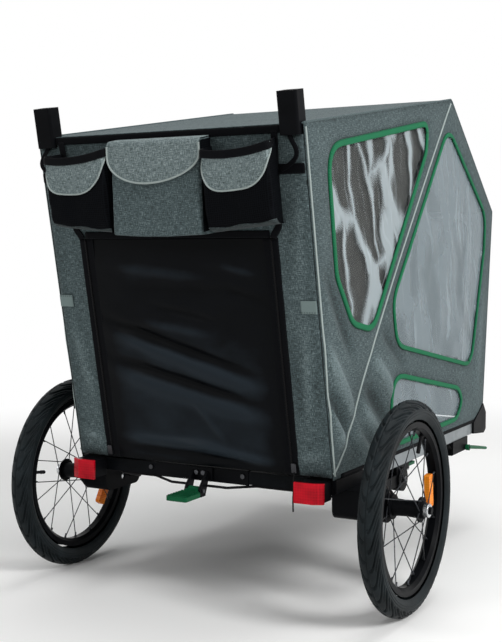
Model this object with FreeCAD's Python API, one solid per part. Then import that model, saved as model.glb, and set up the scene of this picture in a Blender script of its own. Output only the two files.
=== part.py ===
"""Dog bike trailer: a folding fabric cabin on a two-wheeled tube frame, with a drawbar at the front left.

Millimetres. X points right, Y points forward, Z points up and Z = 0 is the ground. Sizes along Y are
given from the wheel axle, and the finished model is moved so that its origin is the middle of its box.
"""
import FreeCAD, Part
import math
import os

Vec = FreeCAD.Vector

# Wheels
WHEEL_D = 400.0
TYRE_W = 42.0
WHEEL_OUT = 99.0
RIM_W = 26.0
RIM_DEPTH = 16.0
RIM_BEVEL = 6.0
RIM_LIP = 2.9
TYRE_SEAT = 2.0
SPOKE_D = 2.0
SPOKE_COUNT = 20
SPOKE_LACING = 48.0
SPOKE_INSET = 4.0
SPOKE_SEAT = 1.5
SPOKE_STAGGER = 3.25
HUB_FLANGE_R = 23.5
HUB_FLANGE_T = 3.0
HUB_FLANGE_GAP = 54.0
HUB_BARREL_R = 16.5
BEARING_R = 13.0
BEARING_W = 9.0
AXLE_R = 6.0
LOCK_DRUM_R = 31.0
LOCK_DRUM_W = 23.0
LOCK_HOLES = 12
LOCK_CIRCLE_R = 23.0
LOCK_HOLE_R = 4.7
LOCK_HOLE_SPARE = 4.0
HUB_STEP = 8.0
REFLECTOR_R = 116.0
REFLECTOR_SIZE = (64.0, 21.0)
REFLECTOR_ROUND = 5.0
REFLECTOR_ANGLE = {"left": -31.0, "right": 6.0}
HEAD_GAP = 0.5
HEAD_L = 9.0
HEAD_ROUND = 2.0
BUTTON_R = 7.0
BUTTON_ROUND = 1.5
BUTTON_SUNK = 3.0
BUTTON_PROUD = 4.0
BUTTON_TRAVEL = 2.5

# Base frame
TUBE = 25.0
TUBE_WALL = 2.0
BASE_W = 562.0
BASE_L = 874.0
REAR_FACE = -104.0
RAIL_Z = 235.0
CORNER_L = 40.0
CORNER_PROUD = 2.0
SKIRT_T = 3.0
SKIRT_L = 124.0
SADDLE_T = 4.0
GUSSET_T = 5.0
GUSSET_BACK = 80.0
GUSSET_UP = 40.0
NOSE_L = 16.0
BOLT_R = 4.5
BOLT_T = 3.0
BOLT_UP = 15.0
BAR_BOLT_X = -115.0
SLEEVE_BOLT_X = 92.0
PLATE_BOLT_X = 7.5
SLEEVE_HALF = 103.0
SLEEVE_WALL = 1.5
CROSS_H = 16.0
CROSS_Y = (60.0, 420.0)
BOARD_T = 3.0
BOARD_INSET = 1.0
MAT_T = 13.0
MAT_INSET = 3.0
BRACKET_W = 56.0
BRACKET_DROP = 57.0
BRACKET_Y = (-62.0, 62.0)
BRACKET_ROUND = 18.0
BRACKET_ARM_T = 22.0
BRACKET_ARM_H = 24.0
BRACKET_ARM_UP = 4.0
BOSS_Y = 235.0
BOSS_R = 25.0
BOSS_PROUD = 4.0
BOSS_BOLT_R = 7.0
BOSS_BOLT_T = 5.0
POST_HALF = 28.0
RELEASE_PIN_R = 3.0
RELEASE_PIN_DROP = 10.0
RELEASE_PIN_AHEAD = 9.0
RELEASE_HALF = 8.0
RELEASE_EYE_R = 6.0
RELEASE_T = 6.0
RELEASE_L = 49.0
RELEASE_ROUND = 3.0
CHEEK_T = 2.7
CHEEK_L = 14.0

# Cabin profile
COVER_T = 2.0
HEM_GAP = 0.3
REAR_LEAN = 11.45
FRONT_LEAN = 7.15
WALL_H = 637.0
PEAK = (515.0, 1013.0)
KNEE_H = 510.0
WALL_Z = 262.0
WALL_FOOT = 2.0
FRONT_IN = 2.0
SIDE_GAP = 0.6

# Folding hoops
HOOP_R = 8.0
HOOP_WALL = 1.5
HOOP_STEP = 18.0
HOOP_BEND = 45.0
PIVOT_UP = 22.4
EYE_LUG_R = 7.6
EYE_LUG_HALF = 7.2
PIVOT_BOLT_R = 4.0
RUN_GAP = 0.05
LUG_T = 8.0
LUG_GAP = 2.0
HOOP_SIDE_GAP = 2.0
BOLT_HEAD_R = 6.5
BOLT_HEAD_T = 4.0
ROOF_GAP = 12.0
SLOPE_GAP = 3.0

# Rear door and pockets, in the plane of the rear wall
DOOR_HALF = 198.5
DOOR_TOP = 444.0
DOOR_FOOT = 2.5
DOOR_HEAD = 3.0
DOOR_GAP = 0.5
ZIP_W = 15.0
ZIP_T = 1.2
SLIDER_W = 10.0
SLIDER_L = 18.0
SLIDER_T = 4.5
SLIDER_UP = 8.0
SLIDER_OUT = 1.0
SLIDER_ROUND = 1.5
POCKET_FLOOR = 456.0
POCKET_T = 2.0
POCKET_ROUND = 12.0
SIDE_POCKET = (98.5, 240.0, 610.0, 48.0, 52.0)
CENTRE_POCKET = (97.0, 623.0, 36.0, 60.0)
FLAP_T = 2.5
FLAP_SIDE = 20.0
FLAP_POINT = 72.0
SOCKET_W = 38.0
SOCKET_D = 34.0
SOCKET_TOP = 694.0
SOCKET_BASE = 620.0
SOCKET_ROUND = 5.0
HANDLE_BORE_R = 12.6
HANDLE_BORE_L = 38.0

# Windows on each side, as corner points along Y and Z
WINDOW_REAR = ((-146, 856), (-104, 628), (-32, 540), (66, 522), (352, 884), (358, 945))
WINDOW_FRONT = ((490, 950), (772, 762), (764, 680), (672, 402), (190, 484), (168, 576))
WINDOW_LOW = ((164, 429), (580, 357), (608, 326), (572, 287), (164, 282))
WINDOW_ROUND = 30.0
FILM_T = 0.8
BINDING_OUT = 7.0
BINDING_IN = 3.0
BINDING_T = 1.5
PIPING_R = 2.5
PIPING_LOW = 29.0
PIPING_HIGH = 15.0

# Brake
PEDAL_BACK = 24.0
PEDAL_DROP = 16.0
PEDAL_PIN_R = 4.0
PEDAL_HUB_R = 8.0
PEDAL_HALF = 22.0
PEDAL_START = 15.0
PEDAL_L = 54.0
PEDAL_T = 9.0
PEDAL_RIBS = 6
PEDAL_RIB_H = 2.0
PEDAL_EDGE = 3.0
PEDAL_ROUND = 3.5
EAR_X = (13.0, 18.0)
EAR_EDGE = 3.0
PEDAL_PIN_PROUD = 2.0
PLATE_HALF = 27.0
PLATE_T = 4.0
CABLE_BEND = 14.0
CABLE_R = 2.5
CABLE_DROP = 4.0
CABLE_BACK = 41.0
CABLE_CLEAR = 10.0
CABLE_TURN = (60.0, 30.0)
BRAKE_PIN_R = 4.0
BRAKE_PIN_L = 40.0
BRAKE_TRAVEL = 7.0
BRAKE_PIN_GAP = 2.0

# Rear reflectors
LENS_IN = (60.0, 22.0, 5.0)
LENS_DROP = 13.0
LENS_H = 38.0
LENS_T = 5.0
LENS_BACK = 42.0
LENS_SWEEP = 9.0
LENS_EDGE = 2.0

# Drawbar and its sockets
CLAMP_BACK = 120.0
CLAMP_L = 105.0
CLAMP_W = 30.0
CLAMP_WALL = 4.0
DRAWBAR_R = 11.0
DRAWBAR_WALL = 2.0
DRAWBAR_DROP = 17.0
STUB_AHEAD = 68.0
STUB_IN = 102.0
HINGE_AHEAD = 86.0
HINGE_R = 13.0
HINGE_PIN_R = 5.0
HINGE_HEAD_R = 8.0
HINGE_HEAD_T = 4.0
FORK_GAP = 14.0
FORK_T = 6.0
ARM_REACH = 480.0
ARM_INWARD = 130.0
EYE_R = 14.0
EYE_HALF = 12.0
EYE_BORE_R = 5.05
HITCH_L = 62.0
SPIGOT_L = 34.0
COLLAR_L = 30.0
COLLAR_R = 12.5
NECK_HALF = 8.0
TONGUE_L = 34.0
ARM_BEND = 90.0
LEVER_ROD_R = 3.5
LEVER_EYE_HALF = 4.2
LEVER_PIN_BACK = 12.0
LEVER_PIN_DROP = 8.0
LEVER_REACH = 152.0
LEVER_FALL = 24.0
LEVER_HALF = 20.0
LEVER_BEND = 14.0

# Pull cord on the right zip slider, as points along X, Y and Z
PULL_CORD_D = 3.0
PULL_CORD_ROUTE = ((205.0, -116.5, 270.0), (205.6, -121.0, 254.0), (206.8, -122.6, 236.0),
                   (206.2, -124.2, 217.0), (207.4, -124.6, 199.0))

# How far a cut passes a face or joined pieces share it, and the tolerance in picking an edge
LAP = 1.0
NEAR = 0.1

# Places worked out from the sizes above
HALF_W = BASE_W / 2
SIDE_IN = HALF_W - COVER_T
RAIL_TOP = RAIL_Z + TUBE
FRONT_FACE = REAR_FACE + BASE_L
AXLE_Z = WHEEL_D / 2
WHEEL_X = HALF_W + WHEEL_OUT
RIM_OUT_R = WHEEL_D / 2 - TYRE_W + TYRE_SEAT
RIM_IN_R = RIM_OUT_R - RIM_DEPTH
LEAN_SIN = math.sin(math.radians(REAR_LEAN))
LEAN_COS = math.cos(math.radians(REAR_LEAN))
WALL_Y = REAR_FACE - (WALL_Z - RAIL_Z) * LEAN_SIN / LEAN_COS
FRONT_SIN = math.sin(math.radians(FRONT_LEAN))
FRONT_COS = math.cos(math.radians(FRONT_LEAN))
FRONT_Y = FRONT_FACE - FRONT_IN
HOOP_IN = COVER_T + HEM_GAP + HOOP_R
HOOP_X = SIDE_IN - HOOP_SIDE_GAP - HOOP_R
REAR_LUG_X = HOOP_X - HOOP_STEP - HOOP_R - LUG_GAP - LUG_T
FRONT_LUG_X = HOOP_X - 2 * HOOP_STEP + HOOP_R + LUG_GAP
SLEEVE_FACE = REAR_FACE - SLEEVE_WALL
PEDAL_PIVOT = (REAR_FACE - PEDAL_BACK, RAIL_Z - PEDAL_DROP)
PEDAL_Y1 = PEDAL_PIVOT[0] - PEDAL_START
LENS_X = tuple(HALF_W - inset for inset in LENS_IN)
LENS_Z = (RAIL_Z - LENS_DROP, RAIL_Z - LENS_DROP + LENS_H)
BRACKET_X = HALF_W - TUBE
RELEASE_X = BRACKET_X + BRACKET_ARM_T / 2
RELEASE_PIN = (BOSS_Y + POST_HALF + RELEASE_PIN_AHEAD, RAIL_Z - RELEASE_PIN_DROP)
SOCKET_X = HALF_W - TUBE / 2
SOCKET_Z = RAIL_Z - DRAWBAR_DROP
CLAMP_Y1 = FRONT_FACE - CLAMP_BACK
CLAMP_Y0 = CLAMP_Y1 - CLAMP_L
LEVER_PIN = (CLAMP_Y1 - LEVER_PIN_BACK, SOCKET_Z - LEVER_PIN_DROP)
STUB_END = FRONT_FACE + STUB_AHEAD
HINGE_Y = FRONT_FACE + HINGE_AHEAD
ARM_DROP = SOCKET_Z - EYE_R
ARM_L = math.hypot(ARM_REACH, ARM_DROP)
ARM_SLOPE = math.degrees(math.atan2(ARM_DROP, ARM_REACH))
ARM_END = ARM_L - HITCH_L


def box(x0, x1, y0, y1, z0, z1):
    """A box between two corners."""
    return Part.makeBox(x1 - x0, y1 - y0, z1 - z0, Vec(x0, y0, z0))


def rod(start, end, radius):
    """A round bar from one point to another."""
    start = Vec(*start)
    way = Vec(*end) - start
    return Part.makeCylinder(radius, way.Length, start, way)


def polygon(points, x):
    """A closed outline at X, from (y, z) points."""
    loop = [Vec(x, y, z) for y, z in points]
    return Part.makePolygon(loop + loop[:1])


def prism(points, x0, x1):
    """A plate with a (y, z) outline, from X to X."""
    return Part.Face(polygon(points, x0)).extrude(Vec(x1 - x0, 0, 0))


def flat_prism(points, z0, z1):
    """A plate with an (x, y) outline, from Z to Z."""
    loop = [Vec(x, y, z0) for x, y in points]
    return Part.Face(Part.makePolygon(loop + loop[:1])).extrude(Vec(0, 0, z1 - z0))


def spun(profile, y, z):
    """A solid of revolution about an X axis, from (x, radius) points."""
    loop = [Vec(x, y, z + r) for x, r in profile]
    face = Part.Face(Part.makePolygon(loop + loop[:1]))
    return face.revolve(Vec(0, y, z), Vec(1, 0, 0), 360)


def joined(first, *others):
    """Several overlapping solids as one."""
    return first.fuse(list(others)).removeSplitter()


def mirrored(shape):
    """The same piece on the other side of the middle plane."""
    return shape.mirror(Vec(0, 0, 0), Vec(1, 0, 0))


def pair(shape):
    """A piece and its mirror image as one group."""
    return Part.makeCompound([shape, mirrored(shape)])


def bent_path(points, radius):
    """A path of straight runs joined by tangent arcs of one radius."""
    corners = [Vec(*p) for p in points]
    edges = []
    last = corners[0]
    for before, corner, after in zip(corners, corners[1:], corners[2:]):
        back = (before - corner).normalize()
        ahead = (after - corner).normalize()
        half = back.getAngle(ahead) / 2
        reach = radius / math.tan(half)
        start = corner + back * reach
        end = corner + ahead * reach
        inward = (back + ahead).normalize()
        middle = corner + inward * (radius / math.sin(half) - radius)
        edges.append(Part.LineSegment(last, start).toShape())
        edges.append(Part.Arc(start, middle, end).toShape())
        last = end
    edges.append(Part.LineSegment(last, corners[-1]).toShape())
    return Part.Wire(edges)


def swept(path, radius):
    """A round bar along a path."""
    first = path.OrderedEdges[0]
    start = first.valueAt(first.FirstParameter)
    ring = Part.Wire(Part.makeCircle(radius, start, first.tangentAt(first.FirstParameter)))
    return path.makePipeShell([ring], True, False)


def pipe(path, radius, wall):
    """A round tube along a path."""
    return swept(path, radius).cut(swept(path, radius - wall))


def placed(shape, lean, y, z):
    """A piece modelled upright at the origin, leaned about X and carried to (y, z)."""
    shape.rotate(Vec(0, 0, 0), Vec(1, 0, 0), lean)
    shape.translate(Vec(0, y, z))
    return shape


def on_wall(shape):
    """A piece modelled against an upright wall, set on the leaning rear wall."""
    return placed(shape, REAR_LEAN, WALL_Y, WALL_Z)


def on_front(shape):
    """A piece modelled against an upright wall, set on the leaning front wall."""
    return placed(shape, -FRONT_LEAN, FRONT_Y, WALL_Z)


def wall_point(inward, up):
    """The (y, z) place of a point of the rear wall's plane."""
    return WALL_Y + inward * LEAN_COS - up * LEAN_SIN, WALL_Z + inward * LEAN_SIN + up * LEAN_COS


def front_point(inward, up):
    """The (y, z) place of a point of the front wall's plane."""
    return FRONT_Y - inward * FRONT_COS + up * FRONT_SIN, WALL_Z + inward * FRONT_SIN + up * FRONT_COS


REAR_PIVOT = wall_point(HOOP_IN, PIVOT_UP)
FRONT_PIVOT = front_point(HOOP_IN, PIVOT_UP)
REAR_TOP = wall_point(0, WALL_H + COVER_T)
KNEE = front_point(0, KNEE_H / FRONT_COS)


# Base frame

def square_tube(length):
    """A square tube along X, centred on the origin."""
    outer = box(-length / 2, length / 2, -TUBE / 2, TUBE / 2, -TUBE / 2, TUBE / 2)
    side = TUBE / 2 - TUBE_WALL
    return outer.cut(box(-length / 2, length / 2, -side, side, -side, side))


def end_bar(y):
    """A base tube across the frame, between the corner blocks."""
    bar = square_tube(BASE_W - 2 * TUBE)
    bar.translate(Vec(0, y, RAIL_Z + TUBE / 2))
    return bar


def side_rails():
    """The two base tubes along the sides."""
    length = BASE_L - 2 * CORNER_L
    rail = square_tube(length)
    rail.rotate(Vec(0, 0, 0), Vec(0, 0, 1), 90)
    rail.translate(Vec(HALF_W - TUBE / 2, (REAR_FACE + FRONT_FACE) / 2, RAIL_Z + TUBE / 2))
    return pair(rail)


def rear_bar_sleeve():
    """The thicker sleeve round the middle of the rear bar, which carries the brake."""
    y0 = REAR_FACE - SLEEVE_WALL
    y1 = REAR_FACE + TUBE + SLEEVE_WALL
    outer = box(-SLEEVE_HALF, SLEEVE_HALF, y0, y1, RAIL_Z - SLEEVE_WALL, RAIL_TOP + SLEEVE_WALL)
    return outer.cut(box(-SLEEVE_HALF, SLEEVE_HALF, REAR_FACE, REAR_FACE + TUBE, RAIL_Z, RAIL_TOP))


def corner_plugs(y_bar, y_rail, into):
    """The two plugs of a corner block that reach into the tubes."""
    side = TUBE / 2 - TUBE_WALL - HEM_GAP
    z = RAIL_Z + TUBE / 2
    reach = TUBE
    x = HALF_W - TUBE
    across = box(x - reach, x, y_bar - side, y_bar + side, z - side, z + side)
    x = HALF_W - TUBE / 2
    ends = sorted((y_rail, y_rail + into * reach))
    along = box(x - side, x + side, ends[0], ends[1], z - side, z + side)
    return across, along


def rear_corner_blocks():
    """Moulded rear corners: they join the tubes, cover the rail's end and carry the lug of the rear hoops."""
    block = box(HALF_W - TUBE, HALF_W, REAR_FACE, REAR_FACE + CORNER_L, RAIL_Z - CORNER_PROUD, RAIL_TOP)
    skirt = box(HALF_W, HALF_W + SKIRT_T, REAR_FACE, REAR_FACE + SKIRT_L, RAIL_Z, RAIL_TOP)
    plugs = corner_plugs(REAR_FACE + TUBE / 2, REAR_FACE + CORNER_L, 1)
    x0 = REAR_LUG_X
    x1 = x0 + LUG_T
    saddle = box(x0, HALF_W - TUBE / 2, REAR_FACE, REAR_FACE + TUBE, RAIL_TOP, RAIL_TOP + SADDLE_T)
    lug = box(x0, x1, HOOP_IN - HOOP_R, HOOP_IN + HOOP_R, 0, PIVOT_UP)
    head = rod((x0, HOOP_IN, PIVOT_UP), (x1, HOOP_IN, PIVOT_UP), HOOP_R)
    lug = on_wall(joined(lug, head))
    block = joined(block, skirt, saddle, lug, *plugs)
    y, z = REAR_PIVOT
    return pair(block.cut(rod((x0 - LAP, y, z), (x1 + LAP, y, z), PIVOT_BOLT_R)))


def front_corner_caps():
    """Moulded front corners: tube joint, pivot lug of the front hoop and the gusset outside the fabric."""
    y0 = FRONT_FACE - CORNER_L
    y1 = FRONT_FACE + NOSE_L
    block = box(HALF_W - TUBE, HALF_W, y0, FRONT_FACE, RAIL_Z - CORNER_PROUD, RAIL_TOP)
    plugs = corner_plugs(FRONT_FACE - TUBE / 2, y0, -1)
    outline = ((FRONT_FACE - GUSSET_BACK, RAIL_Z), (FRONT_FACE - GUSSET_BACK, RAIL_TOP + CORNER_PROUD),
               (FRONT_FACE - NOSE_L / 3, RAIL_TOP + GUSSET_UP), (y1, RAIL_TOP + NOSE_L), (y1, RAIL_Z),
               (FRONT_FACE, RAIL_Z - NOSE_L / 2))
    gusset = prism(outline, HALF_W, HALF_W + GUSSET_T)
    nose = box(HALF_W - TUBE, HALF_W + LAP, FRONT_FACE, y1, RAIL_Z, RAIL_TOP)
    x0 = FRONT_LUG_X
    x1 = x0 + LUG_T
    saddle = box(x0, HALF_W - TUBE / 2, FRONT_FACE - TUBE, FRONT_FACE, RAIL_TOP, RAIL_TOP + SADDLE_T)
    lug = box(x0, x1, -HOOP_IN - HOOP_R, -HOOP_IN + HOOP_R, 0, PIVOT_UP)
    head = rod((x0, -HOOP_IN, PIVOT_UP), (x1, -HOOP_IN, PIVOT_UP), HOOP_R)
    lug = on_front(joined(lug, head))
    block = joined(block, gusset, nose, saddle, lug, *plugs)
    y, z = FRONT_PIVOT
    return pair(block.cut(rod((x0 - LAP, y, z), (x1 + LAP, y, z), PIVOT_BOLT_R)))


def cross_bars():
    """The rear bar, the front bar and the two tubes between the rails that carry the floor."""
    half = HALF_W - TUBE
    tubes = [end_bar(REAR_FACE + TUBE / 2), end_bar(FRONT_FACE - TUBE / 2)]
    for y in CROSS_Y:
        outer = box(-half, half, y - TUBE / 2, y + TUBE / 2, RAIL_Z, RAIL_Z + CROSS_H)
        inner = box(-half, half, y - TUBE / 2 + TUBE_WALL, y + TUBE / 2 - TUBE_WALL,
                    RAIL_Z + TUBE_WALL, RAIL_Z + CROSS_H - TUBE_WALL)
        tubes.append(outer.cut(inner))
    return Part.makeCompound(tubes)


def floor_plate(inset, z0, thick):
    """A plate that lies inside the base tubes."""
    half = HALF_W - TUBE - inset
    return box(-half, half, REAR_FACE + TUBE + SLEEVE_WALL + inset, FRONT_FACE - TUBE - inset, z0, z0 + thick)


def floor_mat():
    """The padded floor mat: a slab whose top edges are drawn in."""
    mat = floor_plate(MAT_INSET, RAIL_Z + CROSS_H + BOARD_T, MAT_T)
    top = [e for e in mat.Edges if min(v.Z for v in e.Vertexes) > mat.BoundBox.ZMax - NEAR]
    return mat.makeFillet(MAT_T / 2, top)


def lever_clevis():
    """The cheeks and cross pin on the front of an axle bracket that carry its lever."""
    y, z = RELEASE_PIN
    inside = RELEASE_HALF + HEM_GAP
    outside = inside + CHEEK_T
    y0 = BOSS_Y + POST_HALF - LAP
    pin = rod((RELEASE_X - outside, y, z), (RELEASE_X + outside, y, z), RELEASE_PIN_R)
    cheeks = []
    for x0 in (RELEASE_X - outside, RELEASE_X + inside):
        cheeks.append(box(x0, x0 + CHEEK_T, y0, y0 + CHEEK_L + LAP, z - RELEASE_EYE_R, RAIL_Z))
    return joined(pin, *cheeks)


def axle_brackets():
    """Moulded brackets under the rails, each with an axle bore, a brake pin bore and a front arm."""
    x0 = BRACKET_X
    x1 = x0 + BRACKET_W
    arm_x1 = x0 + BRACKET_ARM_T
    body = box(x0, x1, BRACKET_Y[0], BRACKET_Y[1], RAIL_Z - BRACKET_DROP, RAIL_Z)
    rounded = [e for e in body.Edges if e.BoundBox.XLength > LAP and e.BoundBox.ZMax < RAIL_Z - LAP]
    body = body.makeFillet(BRACKET_ROUND, rounded)
    arm_z = AXLE_Z + BRACKET_ARM_UP
    half = BRACKET_ARM_H / 2
    arm = box(x0, arm_x1, 0, BOSS_Y + BOSS_R, arm_z - half, arm_z + half)
    boss = rod((x0, BOSS_Y, arm_z), (arm_x1 + BOSS_PROUD, BOSS_Y, arm_z), BOSS_R)
    post = box(x0, arm_x1, BOSS_Y - POST_HALF, BOSS_Y + POST_HALF, arm_z, RAIL_Z)
    body = joined(body, arm, boss, post, lever_clevis())
    body = body.cut(rod((x0 - LAP, 0, AXLE_Z), (x1 + LAP, 0, AXLE_Z), AXLE_R))
    pin_y = LOCK_CIRCLE_R
    return pair(body.cut(rod((x0 - LAP, pin_y, AXLE_Z), (x1 + LAP, pin_y, AXLE_Z), BRAKE_PIN_R + RUN_GAP)))


def frame_bolts():
    """Bolt heads on the frame and the pins and bolts of its pivots, as separate solids."""
    plate_face = SLEEVE_FACE - PLATE_T
    z = RAIL_Z + BOLT_UP
    heads = []
    for x, y in ((BAR_BOLT_X, REAR_FACE), (SLEEVE_BOLT_X, SLEEVE_FACE), (-PLATE_BOLT_X, plate_face),
                 (PLATE_BOLT_X, plate_face)):
        heads.append(rod((x, y, z), (x, y - BOLT_T, z), BOLT_R))
    y, z = PEDAL_PIVOT
    end = EAR_X[1] + PEDAL_PIN_PROUD
    heads.append(rod((-end, y, z), (end, y, z), PEDAL_PIN_R))
    x = BRACKET_X + BRACKET_ARM_T + BOSS_PROUD
    z = AXLE_Z + BRACKET_ARM_UP
    boss_bolt = rod((x, BOSS_Y, z), (x + BOSS_BOLT_T, BOSS_Y, z), BOSS_BOLT_R)
    heads.extend([boss_bolt, mirrored(boss_bolt)])
    return Part.makeCompound(heads + hoop_bolts() + [drawbar_pin()])


# Wheels, modelled for the right side and mirrored for the left

def tyre():
    """A round-section tyre with the rim's seat cut out of it."""
    ring = Part.makeTorus(WHEEL_D / 2 - TYRE_W / 2, TYRE_W / 2, Vec(WHEEL_X, 0, AXLE_Z), Vec(1, 0, 0))
    a = WHEEL_X - RIM_W / 2
    b = WHEEL_X + RIM_W / 2
    seat = ((a, RIM_IN_R), (a, RIM_OUT_R), (b, RIM_OUT_R), (b, RIM_IN_R))
    return ring.cut(spun(seat, 0, AXLE_Z))


def rim():
    """A rim: a ring with a drop channel and bevelled inner edges."""
    a = WHEEL_X - RIM_W / 2
    b = WHEEL_X + RIM_W / 2
    low = RIM_IN_R
    high = RIM_OUT_R
    bevel = RIM_BEVEL
    lip = RIM_LIP
    profile = ((a, high), (a, low + bevel), (a + bevel, low), (b - bevel, low), (b, low + bevel), (b, high),
               (b - lip, high), (b - 2 * lip, high - bevel), (a + 2 * lip, high - bevel), (a + lip, high))
    return spun(profile, 0, AXLE_Z)


def spokes():
    """Crossed spokes from the two hub flanges to the rim."""
    bars = []
    for k in range(SPOKE_COUNT):
        side = 1 if k % 2 else -1
        lacing = SPOKE_LACING if (k // 2) % 2 else -SPOKE_LACING
        rim_angle = 2 * math.pi * k / SPOKE_COUNT
        hub_angle = rim_angle + math.radians(lacing)
        x_hub = WHEEL_X + side * (HUB_FLANGE_GAP / 2 + HUB_FLANGE_T / 2 + SPOKE_D / 2 + SPOKE_SEAT)
        x_rim = WHEEL_X + side * SPOKE_STAGGER
        r_hub = HUB_FLANGE_R - SPOKE_INSET
        r_rim = RIM_IN_R - HEM_GAP
        start = (x_hub, r_hub * math.cos(hub_angle), AXLE_Z + r_hub * math.sin(hub_angle))
        end = (x_rim, r_rim * math.cos(rim_angle), AXLE_Z + r_rim * math.sin(rim_angle))
        bars.append(rod(start, end, SPOKE_D / 2))
    return Part.makeCompound(bars)


def hub_ends():
    """The X places of the hub: drum inner face, drum outer face and outer end."""
    drum_out = WHEEL_X - HUB_FLANGE_GAP / 2 - HUB_STEP
    return drum_out - LOCK_DRUM_W, drum_out, WHEEL_X + HUB_FLANGE_GAP / 2 + HUB_STEP


def hub():
    """The hub shell with its flanges, bearing bore and the drilled drum that the brake pin locks."""
    x0, x1, x2 = hub_ends()
    half = HUB_FLANGE_T / 2
    a = WHEEL_X - HUB_FLANGE_GAP / 2
    b = WHEEL_X + HUB_FLANGE_GAP / 2
    r = HUB_BARREL_R
    f = HUB_FLANGE_R
    drum = LOCK_DRUM_R
    edge = HUB_FLANGE_T / 2
    profile = ((x0, BEARING_R), (x0, drum - edge), (x0 + edge, drum), (x1 - edge, drum), (x1, drum - edge),
               (x1, r), (a - half, r), (a - half, f), (a + half, f), (a + half, r), (WHEEL_X, r - edge),
               (b - half, r), (b - half, f), (b + half, f), (b + half, r), (x2, r - edge), (x2, BEARING_R))
    shell = spun(profile, 0, AXLE_Z)
    depth = BRAKE_TRAVEL + LOCK_HOLE_SPARE
    holes = []
    for k in range(LOCK_HOLES):
        turn = 2 * math.pi * k / LOCK_HOLES
        y = LOCK_CIRCLE_R * math.cos(turn)
        z = AXLE_Z + LOCK_CIRCLE_R * math.sin(turn)
        holes.append(rod((x0 - LAP, y, z), (x0 + depth, y, z), LOCK_HOLE_R))
    return shell.cut(Part.makeCompound(holes))


def bearings():
    """Two ball bearings in the hub, each as a plain ring."""
    rings = []
    for x in (WHEEL_X - HUB_FLANGE_GAP / 2, WHEEL_X + HUB_FLANGE_GAP / 2):
        profile = ((x - BEARING_W / 2, AXLE_R + RUN_GAP), (x - BEARING_W / 2, BEARING_R),
                   (x + BEARING_W / 2, BEARING_R), (x + BEARING_W / 2, AXLE_R + RUN_GAP))
        rings.append(spun(profile, 0, AXLE_Z))
    return Part.makeCompound(rings)


def wheel_reflectors(angle):
    """The spoke reflector, which sits between the two rows of spokes."""
    long, wide = REFLECTOR_SIZE
    spread = HUB_FLANGE_GAP / 2 + HUB_FLANGE_T / 2 + SPOKE_D / 2 - SPOKE_STAGGER
    share = (RIM_IN_R - REFLECTOR_R - wide / 2) / (RIM_IN_R - HUB_FLANGE_R + SPOKE_INSET)
    half = SPOKE_STAGGER + spread * share - SPOKE_D / 2 - 2 * HEM_GAP
    y0 = REFLECTOR_R - wide / 2
    plate = box(WHEEL_X - half, WHEEL_X + half, y0, y0 + wide, -long / 2, long / 2)
    across = [e for e in plate.Edges if e.BoundBox.XLength > LAP]
    plate = plate.makeFillet(REFLECTOR_ROUND, across)
    plate.rotate(Vec(0, 0, 0), Vec(1, 0, 0), angle)
    plate.translate(Vec(0, 0, AXLE_Z))
    return plate


def wheel_axles():
    """Two stub axles with a hollow outer head for the release button."""
    x = hub_ends()[2] + HEAD_GAP
    end = x + HEAD_L
    bar = rod((BRACKET_X + TUBE_WALL, 0, AXLE_Z), (x + LAP, 0, AXLE_Z), AXLE_R)
    head = rod((x, 0, AXLE_Z), (end, 0, AXLE_Z), BEARING_R)
    head = head.makeFillet(HEAD_ROUND, [e for e in head.Edges if e.BoundBox.XMin > end - NEAR])
    axle = joined(bar, head)
    start = end - BUTTON_SUNK - BUTTON_TRAVEL
    return pair(axle.cut(rod((start, 0, AXLE_Z), (end + LAP, 0, AXLE_Z), BUTTON_R + RUN_GAP)))


def release_button():
    """The domed button in the end of an axle that frees the wheel."""
    x = hub_ends()[2] + HEAD_GAP + HEAD_L
    button = rod((x - BUTTON_SUNK, 0, AXLE_Z), (x + BUTTON_PROUD, 0, AXLE_Z), BUTTON_R)
    outer = [e for e in button.Edges if e.BoundBox.XMin > x + BUTTON_PROUD - NEAR]
    return button.makeFillet(BUTTON_ROUND, outer)


# Brake

def brake_bracket():
    """The bracket bolted to the rear sleeve, with two ears for the pedal."""
    face = SLEEVE_FACE
    plate = box(-PLATE_HALF, PLATE_HALF, face - PLATE_T, face, RAIL_Z + LAP, RAIL_TOP)
    y, z = PEDAL_PIVOT
    r = PEDAL_HUB_R
    edge = EAR_EDGE
    root = face - PLATE_T + LAP
    outline = ((root, RAIL_TOP - edge), (root, RAIL_Z + LAP), (y + r, z - r - edge), (y - r, z - r - edge),
               (y - r - edge, z), (y - r, z + r))
    ears = [prism(outline, EAR_X[0], EAR_X[1]), prism(outline, -EAR_X[1], -EAR_X[0])]
    hole = rod((-PLATE_HALF, y, z), (PLATE_HALF, y, z), PEDAL_PIN_R)
    return joined(plate, *ears).cut(hole)


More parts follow.
